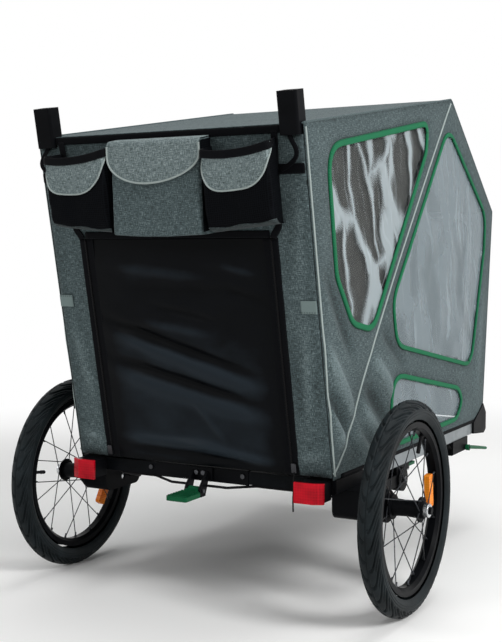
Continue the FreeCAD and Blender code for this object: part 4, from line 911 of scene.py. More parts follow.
def rubbed(piece: Object, values: Array) -> None:
    """Write the relief point attribute, from which finishes paint shade into the hollows of folds and
    highlights on their ridges.
    """
    relief = piece.data.attributes.new("relief", "FLOAT", "POINT")
    relief.data.foreach_set("value", values.astype(np.float32).ravel())


def rippled(u: Array, v: Array, size: float, seed: float) -> Array:
    """Gentle uneven ripples from -1 to 1: a sum of five sines at turned directions and rising rates."""
    total = np.zeros_like(u, dtype=float)
    for k in range(5):
        turn = seed + 2.4 * k
        rate = 2 * np.pi / size * (0.7 + 0.45 * k)
        place = u * math.cos(turn) + v * math.sin(turn)
        total += np.sin(rate * place + seed * 3 + k * 1.7) / (1.4 + 0.5 * k)
    return total / 2.4


def thickened(piece: Object, thickness: float, lining: Finish | None = None) -> None:
    """Give a cloth surface its thickness on its inner side.

    Args:
        piece: the surface.
        thickness: how thick the cloth is.
        lining: another finish for the inner face, if it has one.
    """
    wall = piece.modifiers.new("thickness", "SOLIDIFY")
    wall.thickness = thickness
    wall.offset = -1.0
    if lining:
        piece.data.materials.append(lining.material())
        wall.material_offset = 1


def rides(piece: Object, body: str, slot: str, *nodes: str) -> Object:
    """Fix a piece to a body and hide the nodes that it stands for."""
    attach(piece, body)
    if nodes:
        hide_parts(*nodes)
    log.info("%s rides on %s", piece.name, body)
    return piece


def sinks(piece: Object, slot: str, *nodes: str) -> None:
    """Fix a cabin piece to the base, hide its nodes and give it a mesh of its own."""
    rides(piece, "base", slot, *nodes)
    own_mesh(piece)


def gathers(piece: Object, slot: str, node: str) -> None:
    """Fix a panel to the rear frame, hide its node and give it a mesh of its own."""
    rides(piece, "rear_frame", slot, node)
    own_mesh(piece)


# Cabin cloth

@dataclass
class CabinShape:
    """The cabin's outline seen from the side, along Y and Z, and its half width."""

    half: float = float(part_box("side_cover_right")[1][0])
    hem: float = 0.2605
    rear_hem_y: float = AXLE_Y - 0.1091
    front_hem_y: float = AXLE_Y + 0.7678
    rear_top: Pair = (AXLE_Y - 0.2363, 0.8883)
    peak: Pair = (AXLE_Y + 0.5150, 1.013)
    knee: Pair = (AXLE_Y + 0.8320, 0.772)

    def outline(self) -> Array:
        """The side's five corners in order."""
        return np.array([(self.rear_hem_y, self.hem), self.rear_top, self.peak, self.knee,
                         (self.front_hem_y, self.hem)])


@dataclass(frozen=True)
class Window:
    """A side window: corners along Y from the axle and along Z, film, its waves, and the binding's width."""

    corners: tuple[Pair, ...]
    film: CreasedFilm
    wave: float
    binding: float
    corner_round: float = 0.060

    def outline(self) -> Array:
        """The window's edge, with its corners rounded."""
        return rounded(self.corners, self.corner_round) + (AXLE_Y, 0)


WINDOWS = {
    "rear": Window(((-0.146, 0.856), (-0.104, 0.628), (-0.032, 0.540), (0.066, 0.522), (0.352, 0.884),
                    (0.358, 0.945)), REAR_FILM, 0.0035, 0.0120),
    "front": Window(((0.490, 0.950), (0.772, 0.762), (0.764, 0.680), (0.672, 0.402), (0.190, 0.484),
                     (0.168, 0.576)), FRONT_FILM, 0.0016, 0.0095),
    "low": Window(((0.164, 0.429), (0.580, 0.357), (0.608, 0.326), (0.572, 0.287), (0.164, 0.282)),
                  FRONT_FILM, 0.0014, 0.0105),
}


@dataclass
class SideCover:
    """One side of the cabin: cloth with three windows, their films and bindings, and the white piping."""

    side: Side
    shape: CabinShape = field(default_factory=CabinShape)
    step: float = 0.0095
    puff: float = 0.0032
    slack: float = 0.018
    ripple: float = 0.0012
    ripple_size: float = 0.30
    relief_tone: float = 40.0
    film_step: float = 0.014
    film_slack: float = 0.03
    film_depth: float = 0.001
    screen_depth: float = 0.008
    bow: float = 0.012
    foot_bend: float = 0.0145
    foot_share: float = 0.06
    binding_height: float = 0.0042
    binding_step: float = 0.012
    piping_radius: float = 0.0019
    hem_tape: Pair = (0.008, 0.0024)
    seam_radius: float = 0.0022
    folds: tuple[Fold, ...] = (
        Fold((-0.165, 0.520), (-0.020, 0.360), 0.014, 0.0120),
        Fold((-0.150, 0.440), (-0.040, 0.330), 0.013, -0.0100),
        Fold((-0.140, 0.400), (-0.060, 0.310), 0.012, 0.0110),
        Fold((-0.150, 0.640), (-0.030, 0.480), 0.015, -0.0080),
        Fold((-0.030, 0.340), (0.060, 0.270), 0.014, 0.0110),
        Fold((0.030, 0.420), (0.190, 0.300), 0.016, -0.0110),
        Fold((0.060, 0.470), (0.220, 0.350), 0.015, 0.0120),
        Fold((0.000, 0.390), (0.120, 0.290), 0.013, 0.0090),
        Fold((0.110, 0.520), (0.240, 0.440), 0.013, -0.0070),
        Fold((0.280, 0.620), (0.580, 0.900), 0.015, 0.0020),
        Fold((0.710, 0.330), (0.755, 0.700), 0.022, 0.0040),
    )

    def diagonal(self) -> Array:
        """The slanting seam from the low rear corner to the peak: it bows back, and forward over its foot."""
        start = np.array([self.shape.rear_hem_y - 0.0025, self.shape.hem + 0.0125])
        t = (np.linspace(0, 0.9925, 90) ** 2)[:, None]
        near = t / self.foot_share
        bend = self.foot_bend * near * np.exp(1 - near) - self.bow * np.sin(np.pi * t)
        return start + (np.array(self.shape.peak) - start) * t + bend * (1.0, 0.0)

    def relief(self, flat: Array) -> Array:
        """How far the cloth stands out: it puffs away from sewn edges, with folds and faint ripples."""
        seam = self.diagonal()[::4]
        away = np.minimum(edge_distance(flat, self.shape.outline()),
                          0.006 + edge_distance(flat, np.concatenate([seam, seam[::-1]])))
        for window in WINDOWS.values():
            away = np.minimum(away, edge_distance(flat, window.outline()))
        free = 1 - np.exp(-away / self.slack)
        ripple = self.ripple * rippled(flat[:, 0], flat[:, 1], self.ripple_size, 0.8 + 0.5 * self.side.value)
        return free * (self.puff + folded(flat[:, 0] - AXLE_Y, flat[:, 1], self.folds) + ripple)

    def placed(self, flat: Array, out: Array | float) -> Array:
        """Flat (y, z) points at a distance out from the middle plane, on this side."""
        x = np.broadcast_to(out, flat[:, 0].shape) * self.side.value
        return np.column_stack([x, flat])

    def sheet(self, name: str, outline: Array, cut: tuple[Array, Array], out: Array | float, finish: Finish,
              slot: str, rests_on: list[str], *nodes: str, tone: Array | None = None) -> None:
        """A stretched sheet of this side.

        Args:
            name: the piece's name without its side.
            outline: the sheet's edge; not used.
            cut: flat points and triangles.
            out: how far from the middle plane it lies.
            finish: its finish.
            slot: its material slot.
            rests_on: what holds it; not used.
            nodes: the nodes that it stands for.
            tone: the relief that its finish reads as painted shade and highlight of folds, for cloth with a
                lining.
        """
        flat, faces = cut
        faces = faces if self.side is Side.RIGHT else faces[:, ::-1]
        piece = mesh_object(f"{name}_{self.side.word}", self.placed(flat, out), faces, flat, finish)
        if tone is not None:
            rubbed(piece, tone)
            thickened(piece, CLOTH, LINING)
        sinks(piece, slot, *nodes)
        flat_area(flat, faces)
        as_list(rests_on)

    def cloth(self) -> None:
        """The cloth panel, with its dark lining inside."""
        outline = self.shape.outline()
        cut = triangulated(outline, [window.outline() for window in WINDOWS.values()], self.step)
        height = self.relief(cut[0])
        # The tone paints shade into the hollows of the folds and highlights on their ridges.
        self.sheet("cabin_side", outline, cut, self.shape.half + height, MELANGE, "melange",
                   ["rear_hoop", "diagonal_hoop", "front_hoop"], f"side_cover_{self.side.word}",
                   tone=np.clip(self.relief_tone * (height - self.puff), -0.3, 0.3))

    def films(self) -> None:
        """Films in the windows, and a dark sheet of painted shade behind the rear one."""
        for name, window in WINDOWS.items():
            outline = window.outline()
            cut = triangulated(outline, (), self.film_step)
            flat = cut[0]
            away = 1 - np.exp(-edge_distance(flat, outline) / self.film_slack)
            wave = rippled(flat[:, 0] * 1.6, flat[:, 1] * 0.6, 0.11, 2.2) * window.wave * away
            binding = [f"window_binding_{name}_{self.side.word}"]
            self.sheet(f"window_film_{name}", outline, cut, self.shape.half - self.film_depth + wave,
                       window.film, "clear_film", binding, "window_films")
            # A dark sheet behind the rear film stands for the shaded inside of the cabin: painted shade.
            if name == "rear":
                self.sheet("window_screen", outline, cut, self.shape.half - self.screen_depth, INTERIOR_SHADE,
                           "black_mesh", binding)

    def trim(self, name: str, line: Array, out: Array | float, profile: Array, finish: Finish, slot: str,
             *nodes: str, closed: bool = False) -> None:
        """A tape or piping along a flat line of this side, with the same kinds of values as a sheet."""
        outward = np.array([self.side.value, 0.0, 0.0])
        piece = swept(f"{name}_{self.side.word}", self.placed(line, out), outward, profile, finish, closed)
        sinks(piece, slot, *nodes)

    def trims(self) -> None:
        """Green bindings round the windows, white piping on the corner and the diagonal, and a black hem."""
        shape = self.shape
        for name, window in WINDOWS.items():
            profile = tape_profile(window.binding, self.binding_height)
            line = densified(window.outline(), self.binding_step)
            self.trim(f"window_binding_{name}", line, shape.half, profile, GREEN_TAPE, "green_binding",
                      "window_bindings", closed=True)
        r = self.piping_radius
        foot, top = np.array([shape.rear_hem_y, shape.hem]), np.array(shape.rear_top)
        corner = foot + (top - foot) * np.linspace(0.012, 0.99, 60)[:, None] + (0.004, 0.0)
        for name, line in (("corner", corner), ("diagonal", self.diagonal())):
            self.trim(f"{name}_piping", line, shape.half + self.relief(line) + r * 0.4, round_profile(r),
                      REFLECTIVE, "white_piping", "piping")
        hem_y = np.linspace(shape.rear_hem_y + 0.03, shape.front_hem_y - 0.005, 60)
        hem = np.column_stack([hem_y, np.full_like(hem_y, shape.hem + 0.004)])
        self.trim("hem_tape", hem, shape.half, tape_profile(*self.hem_tape), BLACK_TAPE, "black_webbing")
        upper = shape.outline()[1:]
        place = travelled(upper)
        stations = np.linspace(0, place[-1], 160)
        seam = np.stack([np.interp(stations, place, upper[:, k]) for k in (0, 1)], axis=1)
        self.trim("top_seam", seam, shape.half - 0.001, round_profile(self.seam_radius), MELANGE, "melange")

    def build(self) -> None:
        """Make every piece of this side."""
        self.cloth()
        self.films()
        self.trims()


@dataclass
class CabinTop:
    """The roof, the front slope and the front panel, each stretched between two hoops."""

    shape: CabinShape = field(default_factory=CabinShape)
    rows: int = 70
    columns: int = 60
    inset: float = 0.0015
    sag: float = 0.006
    ripple: float = 0.0018
    ripple_size: float = 0.26

    def panel(self, name: str, node: str, start: Pair, end: Pair, seed: float) -> None:
        """One panel: straight between its two edges, with a sag that is a product of two parabolas.

        Args:
            name: the piece's name.
            node: the node it stands for.
            start: first edge along Y and Z.
            end: last edge along Y and Z.
            seed: picks the ripples.
        """
        s, t = crossed(np.linspace(-1, 1, self.columns), np.linspace(0, 1, self.rows))
        a, b = np.array(start), np.array(end)
        length = float(np.linalg.norm(b - a))
        normal = np.array([-(b - a)[1], (b - a)[0]]) / length
        half = self.shape.half - self.inset
        free = (1 - s ** 2) * 4 * t * (1 - t)
        ripple = self.ripple * free ** 0.5 * rippled(s * half, t * length, self.ripple_size, seed)
        depth = -self.sag * free + ripple
        line = a + (b - a) * t[..., None] + normal * depth[..., None]
        points = np.concatenate([(s * half)[..., None], line], axis=-1)
        piece = grid_object(name, points, np.stack([s * half, t * length], axis=-1), MELANGE)
        thickened(piece, CLOTH, LINING)
        if node == "cover_roof":
            gathers(piece, "melange", node)
        else:
            sinks(piece, "melange", node)

    def build(self) -> None:
        """Make the three panels."""
        shape = self.shape
        self.panel("cabin_roof", "cover_roof", shape.rear_top, shape.peak, 0.4)
        self.panel("cabin_front_slope", "front_slope", shape.peak, shape.knee, 1.3)
        self.panel("cabin_front", "front_panel", shape.knee, (shape.front_hem_y, shape.hem + 0.003), 2.1)


# Rear wall

@dataclass
class RearPlane:
    """The plane of the leaning rear wall: its foot and its lean."""

    foot_y: float = AXLE_Y - 0.109468
    foot_z: float = 0.262
    lean_deg: float = 11.45

    def placed(self, x: Array | float, out: Array | float, up: Array | float) -> Array:
        """Points of the wall: across, out to the rear, and up along it."""
        x, out, up = np.broadcast_arrays(x, out, up)
        sin, cos = math.sin(math.radians(self.lean_deg)), math.cos(math.radians(self.lean_deg))
        return np.stack([x, self.foot_y - out * cos - up * sin, self.foot_z - out * sin + up * cos], axis=-1)

    def strip(self, name: str, path: Array, profile: Array, finish: Finish = BLACK_TAPE,
              slot: str = "black_webbing", body: str = "rear_frame", nodes: Sequence[str] = ()) -> Object:
        """A tape or piping on the wall.

        Args:
            name: the piece's name.
            path: points in order.
            profile: its section.
            finish: its finish.
            slot: its material slot.
            body: the body that it rides on.
            nodes: the nodes that it stands for.

        Returns:
            The piece.
        """
        turn = math.radians(self.lean_deg)
        outward = np.array([0.0, -math.cos(turn), -math.sin(turn)])
        return rides(swept(name, path, outward, profile, finish), body, slot, *nodes)


@dataclass
class RearWall:
    """The rear wall with its door, zips, tabs and straps."""

    plane: RearPlane = field(default_factory=RearPlane)
    half: float = 0.2784
    low: float = 0.003
    top: float = 0.6367
    door_half: float = 0.1985
    door_top: float = 0.444
    door_puff: float = 0.0060
    door_cloth: float = 0.0012
    notch_x: float = 0.2385
    notch_up: float = 0.6195
    step: float = 0.010
    slack: float = 0.018
    puff: float = 0.0022
    relief_tone: float = 50.0
    zip_tape: Pair = (0.0155, 0.0018)
    zip_gap: float = 0.00025
    coil: Pair = (0.0034, 0.0026)
    edge_tape: float = 0.013
    tab: Pair = (0.0235, 0.0016)
    tab_ends: Pair = (0.248, 0.2785)
    tab_levels: Pair = (0.3205, 0.3220)
    strap: Pair = (0.018, 0.0024)
    strap_ends: Pair = (0.229, 0.2780)
    strap_up: float = 0.563
    loop: Pair = (0.0085, 0.0022)
    wall_folds: tuple[Fold, ...] = (
        Fold((-0.275, 0.052), (-0.215, 0.040), 0.007, 0.0060),
        Fold((-0.270, 0.028), (-0.220, 0.022), 0.006, 0.0050),
        Fold((0.215, 0.034), (0.275, 0.046), 0.007, 0.0050),
        Fold((-0.262, 0.300), (-0.228, 0.120), 0.010, 0.0050),
        Fold((0.254, 0.290), (0.236, 0.070), 0.010, 0.0050),
        Fold((0.262, 0.540), (0.250, 0.360), 0.009, 0.0050),
        Fold((0.222, 0.240), (0.240, 0.060), 0.008, -0.0035),
    )
    door_folds: tuple[Fold, ...] = (
        Fold((-0.185, 0.290), (0.150, 0.185), 0.011, -0.0085),
        Fold((-0.170, 0.262), (0.165, 0.160), 0.016, 0.0070),
        Fold((-0.180, 0.212), (0.145, 0.132), 0.011, -0.0085),
        Fold((-0.165, 0.180), (0.165, 0.105), 0.018, 0.0065),
        Fold((-0.060, 0.315), (0.075, 0.290), 0.008, -0.0045),
        Fold((-0.090, 0.285), (0.060, 0.262), 0.008, 0.0040),
        Fold((-0.150, 0.392), (0.060, 0.372), 0.010, 0.0035),
        Fold((-0.100, 0.350), (0.120, 0.345), 0.012, -0.0035),
        Fold((0.095, 0.395), (0.185, 0.372), 0.007, 0.0040),
        Fold((0.100, 0.350), (0.187, 0.326), 0.008, -0.0045),
        Fold((-0.170, 0.050), (0.060, 0.046), 0.010, 0.0070),
        Fold((-0.020, 0.048), (0.175, 0.020), 0.009, 0.0070),
        Fold((-0.160, 0.030), (0.120, 0.018), 0.008, -0.0060),
        Fold((0.010, 0.130), (0.070, 0.050), 0.007, 0.0020),
    )

    def wall(self) -> None:
        """The cloth round the door, cut out at the top corners for the handle knuckles."""
        edge = self.door_half + 0.0005
        right = [(edge, self.low), (self.half, self.low), (self.half, self.notch_up),
                 (self.notch_x, self.notch_up), (self.notch_x, self.top)]
        left = [(-x, up) for x, up in reversed(right)]
        outline = np.array([(edge, self.door_top + 0.0003), *right, *left, (-edge, self.door_top + 0.0003)])
        flat, faces = triangulated(outline, (), self.step)
        away = 1 - np.exp(-edge_distance(flat, outline) / self.slack)
        ripple = 0.0016 * rippled(flat[:, 0], flat[:, 1], 0.16, 1.1)
        out = away * (self.puff + ripple + folded(flat[:, 0], flat[:, 1], self.wall_folds))
        points = self.plane.placed(flat[:, 0], out, flat[:, 1])
        piece = mesh_object("rear_wall_cloth", points, faces, flat, MELANGE)
        # The relief paints shade into the hollows of the wall's folds and highlights on their ridges.
        rubbed(piece, np.clip(self.relief_tone * (out - self.puff), -0.3, 0.3))
        thickened(piece, CLOTH, LINING)
        rides(piece, "rear_frame", "melange", "rear_wall")

    def door(self) -> None:
        """The coated door: slack between its zips, with slanting folds whose ridges carry a painted
        highlight, and a painted reflection that lightens its lower part.
        """
        half, top = self.door_half, self.door_top
        x, up = crossed(np.linspace(-half, half, 150), np.linspace(self.low, top, 170))
        free = (1 - np.abs(x / half) ** 6) * eased(top - up, 0, 0.05) * eased(up, -0.02, 0.03)
        creases = folded(x, up, self.door_folds) + 0.0010 * rippled(x, up, 0.12, 0.6)
        out = free * (self.door_puff + creases)
        points = self.plane.placed(x, np.maximum(out, -0.0016), up)
        piece = grid_object("rear_door_panel", points, np.stack([x, up], axis=-1), DOOR_CLOTH)
        # shine paints a highlight on the ridges of the folds and a painted reflection that lightens the lower
        # part of the door.
        shine = free * (0.42 + 70 * creases + 0.25 * eased(0.30 - up, 0, 0.12))
        rubbed(piece, np.clip(shine, 0, 1))
        thickened(piece, self.door_cloth)
        rides(piece, "door", "black_fabric", "rear_door")

    def zips(self) -> None:
        """Two tapes at each edge of the door and the coil where they meet."""
        placed, strip = self.plane.placed, self.plane.strip
        up = np.linspace(self.low, self.door_top, 60)
        for side in Side:
            seam = side.value * (self.door_half + self.zip_gap)
            for part, body, way in (("wall", "rear_frame", 1), ("door", "door", -1)):
                x = seam + way * side.value * self.zip_tape[0] / 2
                strip(f"{part}_zip_tape_{side.word}", placed(x, 0.0004, up), tape_profile(*self.zip_tape),
                      body=body, nodes=[f"{part}_zip_tapes"])
            path = placed(seam + side.value * 0.0018, 0.0012, np.linspace(0.026, self.door_top, 60))
            strip(f"zip_coil_{side.word}", path, tape_profile(*self.coil, 10), ZIP_COIL)

    def straps(self) -> None:
        """Black tapes along the top and over the door; on each side a tab, two straps and an edge tape."""
        placed, strip = self.plane.placed, self.plane.strip
        x = np.linspace(-self.notch_x + 0.001, self.notch_x - 0.001, 90)
        path = placed(x, 0.0005, self.top - 0.0062)
        strip("top_edge_tape", path, tape_profile(self.edge_tape, 0.0034))
        x = np.linspace(-self.door_half, self.door_half, 60)
        path = placed(x, 0.0010, self.door_top + 0.0066)
        strip("door_top_tape", path, tape_profile(self.edge_tape, 0.0022))
        t = np.linspace(0, 1, 40)
        for side in Side:
            word, sign = side.word, side.value
            level = self.tab_levels[0 if side is Side.RIGHT else 1]
            path = placed(np.linspace(*self.tab_ends, 12) * sign, 0.0030, level)
            strip(f"side_tab_{word}", path, tape_profile(*self.tab), GREY_TAB, "white_piping")
            path = placed(np.linspace(*self.strap_ends, 16) * sign, 0.0030, self.strap_up)
            strip(f"knuckle_strap_{word}", path, tape_profile(*self.strap))
            bow = sign * (0.2355 + 0.021 * t + 0.0235 * np.sin(np.pi * t) ** 1.3)
            path = placed(bow, 0.005 + 0.008 * np.sin(np.pi * t), 0.562 + 0.058 * t ** 1.25)
            strip(f"knuckle_loop_{word}", path, tape_profile(*self.loop))
            edge = sign * (0.2063 + 0.0112 * eased(t, 0.0, 0.12) + 0.0085 * t)
            path = placed(edge, 0.0026, self.door_top + (0.630 - self.door_top) * t)
            strip(f"pocket_edge_tape_{word}", path, tape_profile(self.edge_tape, 0.0024))

    def build(self) -> None:
        """Make the wall, the door, the zips and the straps."""
        self.wall()
        self.door()
        self.zips()
        self.straps()


@dataclass
class SidePocket:
    """A mesh pocket with a grey U-shaped upper panel, white piping and an elastic mouth."""

    side: Side
    plane: RearPlane = field(default_factory=RearPlane)
    inner: float = 0.0985
    outer: float = 0.2400
    floor: float = 0.456
    mouth: float = 0.610
    mouth_depth: float = 0.048
    floor_depth: float = 0.052
    lip_drop: float = 0.0049
    lip_tilt: float = 0.0050
    lip_curve: float = 0.0075
    floor_tilt: float = 0.0075
    belly_share: float = 0.13
    crumple: float = 0.0022
    front: float = 0.975
    chin_ends: float = 0.97
    chin_drop: float = 0.45
    tuck: float = 0.013
    piping_radius: float = 0.0016
    binding: Pair = (0.0145, 0.0034)
    strip_share: float = 0.085

    @property
    def hang(self) -> float:
        """How far the panel's lowest place lies to the left."""
        return 0.28 if self.side is Side.LEFT else 0.10

    def lip(self, s: Array) -> Array:
        """Height of the slack mouth: a parabola that hangs lowest left of its middle."""
        return self.mouth - self.lip_drop + self.lip_tilt * s + self.lip_curve * s ** 2

    def bag(self, s: Array, t: Array, proud: float = 0.0) -> tuple[Array, Array]:
        """The pocket's surface: a superellipse across, a quarter ellipse at the floor and a drawn-in mouth.

        Args:
            s: place across from -1 to 1, from left to right as seen from behind.
            t: place up from 0 at the floor to 1 at the mouth.
            proud: how far outside the bag.

        Returns:
            Points, and flat UVs in metres.
        """
        sign = self.side.value
        half = (self.outer - self.inner) / 2
        middle = sign * (self.outer + self.inner) / 2
        low = self.floor + self.floor_tilt * (1 + s * sign)
        up = low + t * (self.lip(s) - low)
        belly = np.sqrt(1 - (1 - np.clip(t / self.belly_share, 0, 1)) ** 2)
        depth = self.floor_depth + (self.mouth_depth - self.floor_depth) * t + 0.004 * np.sin(np.pi * t)
        across = (1 - np.abs(s) ** 26) ** 0.5
        out = depth * belly * across
        crumple = self.crumple * rippled(s * half, t * 0.15, 0.06, 1.7 + sign) * across * belly
        outward = np.maximum(s * sign, 0) ** 12
        x = middle + s * half - sign * self.tuck * outward * (1 - across * belly)
        uv = np.stack([s * half + np.abs(out) * np.sign(s), t * (self.mouth - self.floor)], axis=-1)
        return self.plane.placed(x, out + crumple + proud, up), uv

    def chin(self, s: Array) -> Array:
        """Lower edge of the grey panel, as a place up the bag: a wide U that hangs lower on its left."""
        skew = np.clip(s / self.front, -1, 1)
        skew = skew + self.hang * (1 - skew ** 2)
        return self.chin_ends - self.chin_drop * np.maximum(1 - np.abs(skew) ** 4, 0) ** 0.5

    def cloth(self, name: str, surface: tuple[Array, Array], finish: Finish, thickness: float, slot: str,
              *nodes: str) -> None:
        """A layer of cloth on the bag: its points and UVs, finish, thickness, slot and nodes."""
        piece = grid_object(f"{name}_{self.side.word}", *surface, finish)
        thickened(piece, thickness)
        rides(piece, "rear_frame", slot, *nodes)

    def build(self) -> None:
        """Make the bag, the upper panel, the piping, the mouth's binding and the floor strip."""
        word, strip = self.side.word, self.plane.strip
        spread = crowded(71)
        s, t = crossed(spread, 1 - np.cos(np.linspace(0, 1, 50) * np.pi / 2))
        self.cloth("pocket_mesh", self.bag(s, t), POCKET_MESH, 0.0012, "black_mesh", "side_pockets")
        s, w = crossed(spread * self.front, np.linspace(0, 1, 26))
        panel = self.bag(s, self.chin(s) * (1 - w) + 0.985 * w, 0.0016)
        # The panel takes the lighter copy of the melange as painted light.
        self.cloth("pocket_panel", panel, LIT_POCKET_MELANGE, 0.0010, "melange")
        line = crowded(110) * self.front
        path, _ = self.bag(line, self.chin(line), 0.0020)
        strip(f"pocket_piping_{word}", path, round_profile(self.piping_radius, 8), REFLECTIVE, "white_piping")
        line = crowded(90) * 0.985
        path, _ = self.bag(line, np.full_like(line, 0.955), 0.0016)
        strip(f"pocket_mouth_{word}", path, tape_profile(*self.binding))
        # The floor strip takes the darker copy of the melange as painted shade.
        s, w = crossed(spread * 0.97, np.linspace(0.004, self.strip_share, 10))
        under = self.bag(s, w + 0.012 * np.sin(7 * s + 1) * w / self.strip_share, 0.0012)
        self.cloth("pocket_floor_strip", under, SHADED_MELANGE, 0.0008, "melange")


@dataclass
class CentrePocket:
    """The middle pocket, deeper at its floor, and its U-shaped flap."""

    plane: RearPlane = field(default_factory=RearPlane)
    half: float = 0.0970
    floor: float = 0.456
    mouth: float = 0.6245
    mouth_depth: float = 0.036
    floor_depth: float = 0.060
    belly_share: float = 0.045
    crumple: float = 0.0016
    lid_up: float = 0.6265
    lid_reach: float = 0.0390
    lid_cloth: float = 0.0016
    bend: float = 0.008
    side_drop: float = 0.026
    chin_drop: float = 0.0735
    lean: float = 0.13
    piping_radius: float = 0.0018
    piping_tail: int = 8

    def depth(self, t: Array) -> Array:
        """How deep the pocket is at a place up from 0 at its floor to 1 at its mouth."""
        return self.floor_depth + (self.mouth_depth - self.floor_depth) * t

    def bag(self) -> None:
        """A boxy bag with a sloping front, rounded side edges, a turned-in floor and dark gussets."""
        s, t = crossed(crowded(71), 1 - np.cos(np.linspace(0, 1, 56) * np.pi / 2))
        belly = np.sqrt(1 - (1 - np.clip(t / self.belly_share, 0, 1)) ** 2)
        across = (1 - np.abs(s) ** 44) ** 0.5
        crumple = self.crumple * rippled(s * self.half, t * 0.17, 0.08, 0.9)
        out = belly * across * (self.depth(t) - 0.001 + crumple)
        up = self.floor + t * (self.mouth - self.floor) - 0.004 * belly * np.cos(np.pi * s / 2) * (1 - t) ** 3
        uv = np.stack([s * self.half, up], axis=-1)
        piece = grid_object("centre_pocket_bag", self.plane.placed(s * self.half, out, up), uv, MELANGE)
        thickened(piece, CLOTH)
        rides(piece, "rear_frame", "melange", "centre_pocket")
        w, t = crossed(np.linspace(0.02, 0.93, 12), np.linspace(0.05, 0.99, 20))
        out, up = w * self.depth(t), self.floor + t * (self.mouth - self.floor)
        for side in Side:
            points = self.plane.placed(side.value * (self.half + 0.0006), out, up)
            gusset = grid_object(f"centre_pocket_gusset_{side.word}", points, np.stack([out, up], axis=-1),
                                 POCKET_MESH, flip=side is Side.RIGHT)
            rides(gusset, "rear_frame", "black_mesh")

    def flap_surface(self, s: Array, run: Array, proud: float = 0.0) -> Array:
        """The flap: level from the wall, a quarter-round bend, then down the sloping front of the pocket.

        Args:
            s: place across from -1 to 1.
            run: distance from the wall along the flap.
            proud: how far outside the flap's middle surface.

        Returns:
            Points.
        """
        level = self.lid_reach - self.bend
        arc = self.bend * np.pi / 2
        slope = (self.floor_depth - self.mouth_depth) / (self.mouth - self.floor)
        turn = np.clip((run - level) / self.bend, 0, np.pi / 2)
        drop = np.maximum(run - level - arc, 0)
        out = np.minimum(run, level) + self.bend * np.sin(turn) + proud * np.sin(turn) + slope * drop
        down = self.bend * (1 - np.cos(turn)) + drop
        lift = 0.0022 * eased(drop, 0.0, 0.05) * (1 - 0.5 * s ** 2)
        crown = 0.0012 * rippled(s * self.half, run, 0.10, 0.3) * eased(drop, 0.0, 0.03)
        return self.plane.placed(s * self.half, out + lift + crown, self.lid_up + proud * np.cos(turn) - down)

    def reach(self, s: Array) -> Array:
        """How long the flap is at each place across: upright sides, then a half ellipse that leans left."""
        place = s + self.lean * (1 - s ** 2)
        chin = (self.chin_drop - self.side_drop) * np.maximum(1 - place ** 2, 0) ** 0.5
        return self.lid_reach - self.bend + self.bend * np.pi / 2 + (self.side_drop - self.bend + chin)

    def flap(self) -> None:
        """The flap's cloth and the piping on its edge."""
        s, w = crossed(crowded(91), np.linspace(0, 1, 56))
        run = w * self.reach(s)
        uv = np.stack([s * self.half, -run], axis=-1)
        points = self.flap_surface(s, run, 0.0012)
        # The flap takes the lighter copy of the melange as painted light.
        piece = grid_object("pocket_flap_cloth", points, uv, LIT_POCKET_MELANGE, flip=True)
        thickened(piece, self.lid_cloth, LINING)
        rides(piece, "flap", "melange", "pocket_flap")
        tail = self.piping_tail
        line = crowded(120)
        ends = self.lid_reach + np.linspace(0.004, 0.016, tail)
        runs = np.concatenate([ends, self.reach(line), ends[::-1]])
        line = np.concatenate([np.full(tail, -1.0), line, np.full(tail, 1.0)])
        edge = self.plane.strip("flap_piping", self.flap_surface(line, runs, 0.0014),
                                round_profile(self.piping_radius, 8), REFLECTIVE, "white_piping", "flap")

    def build(self) -> None:
        """Make the bag and its flap."""
        self.bag()
        self.flap()


# Wheels

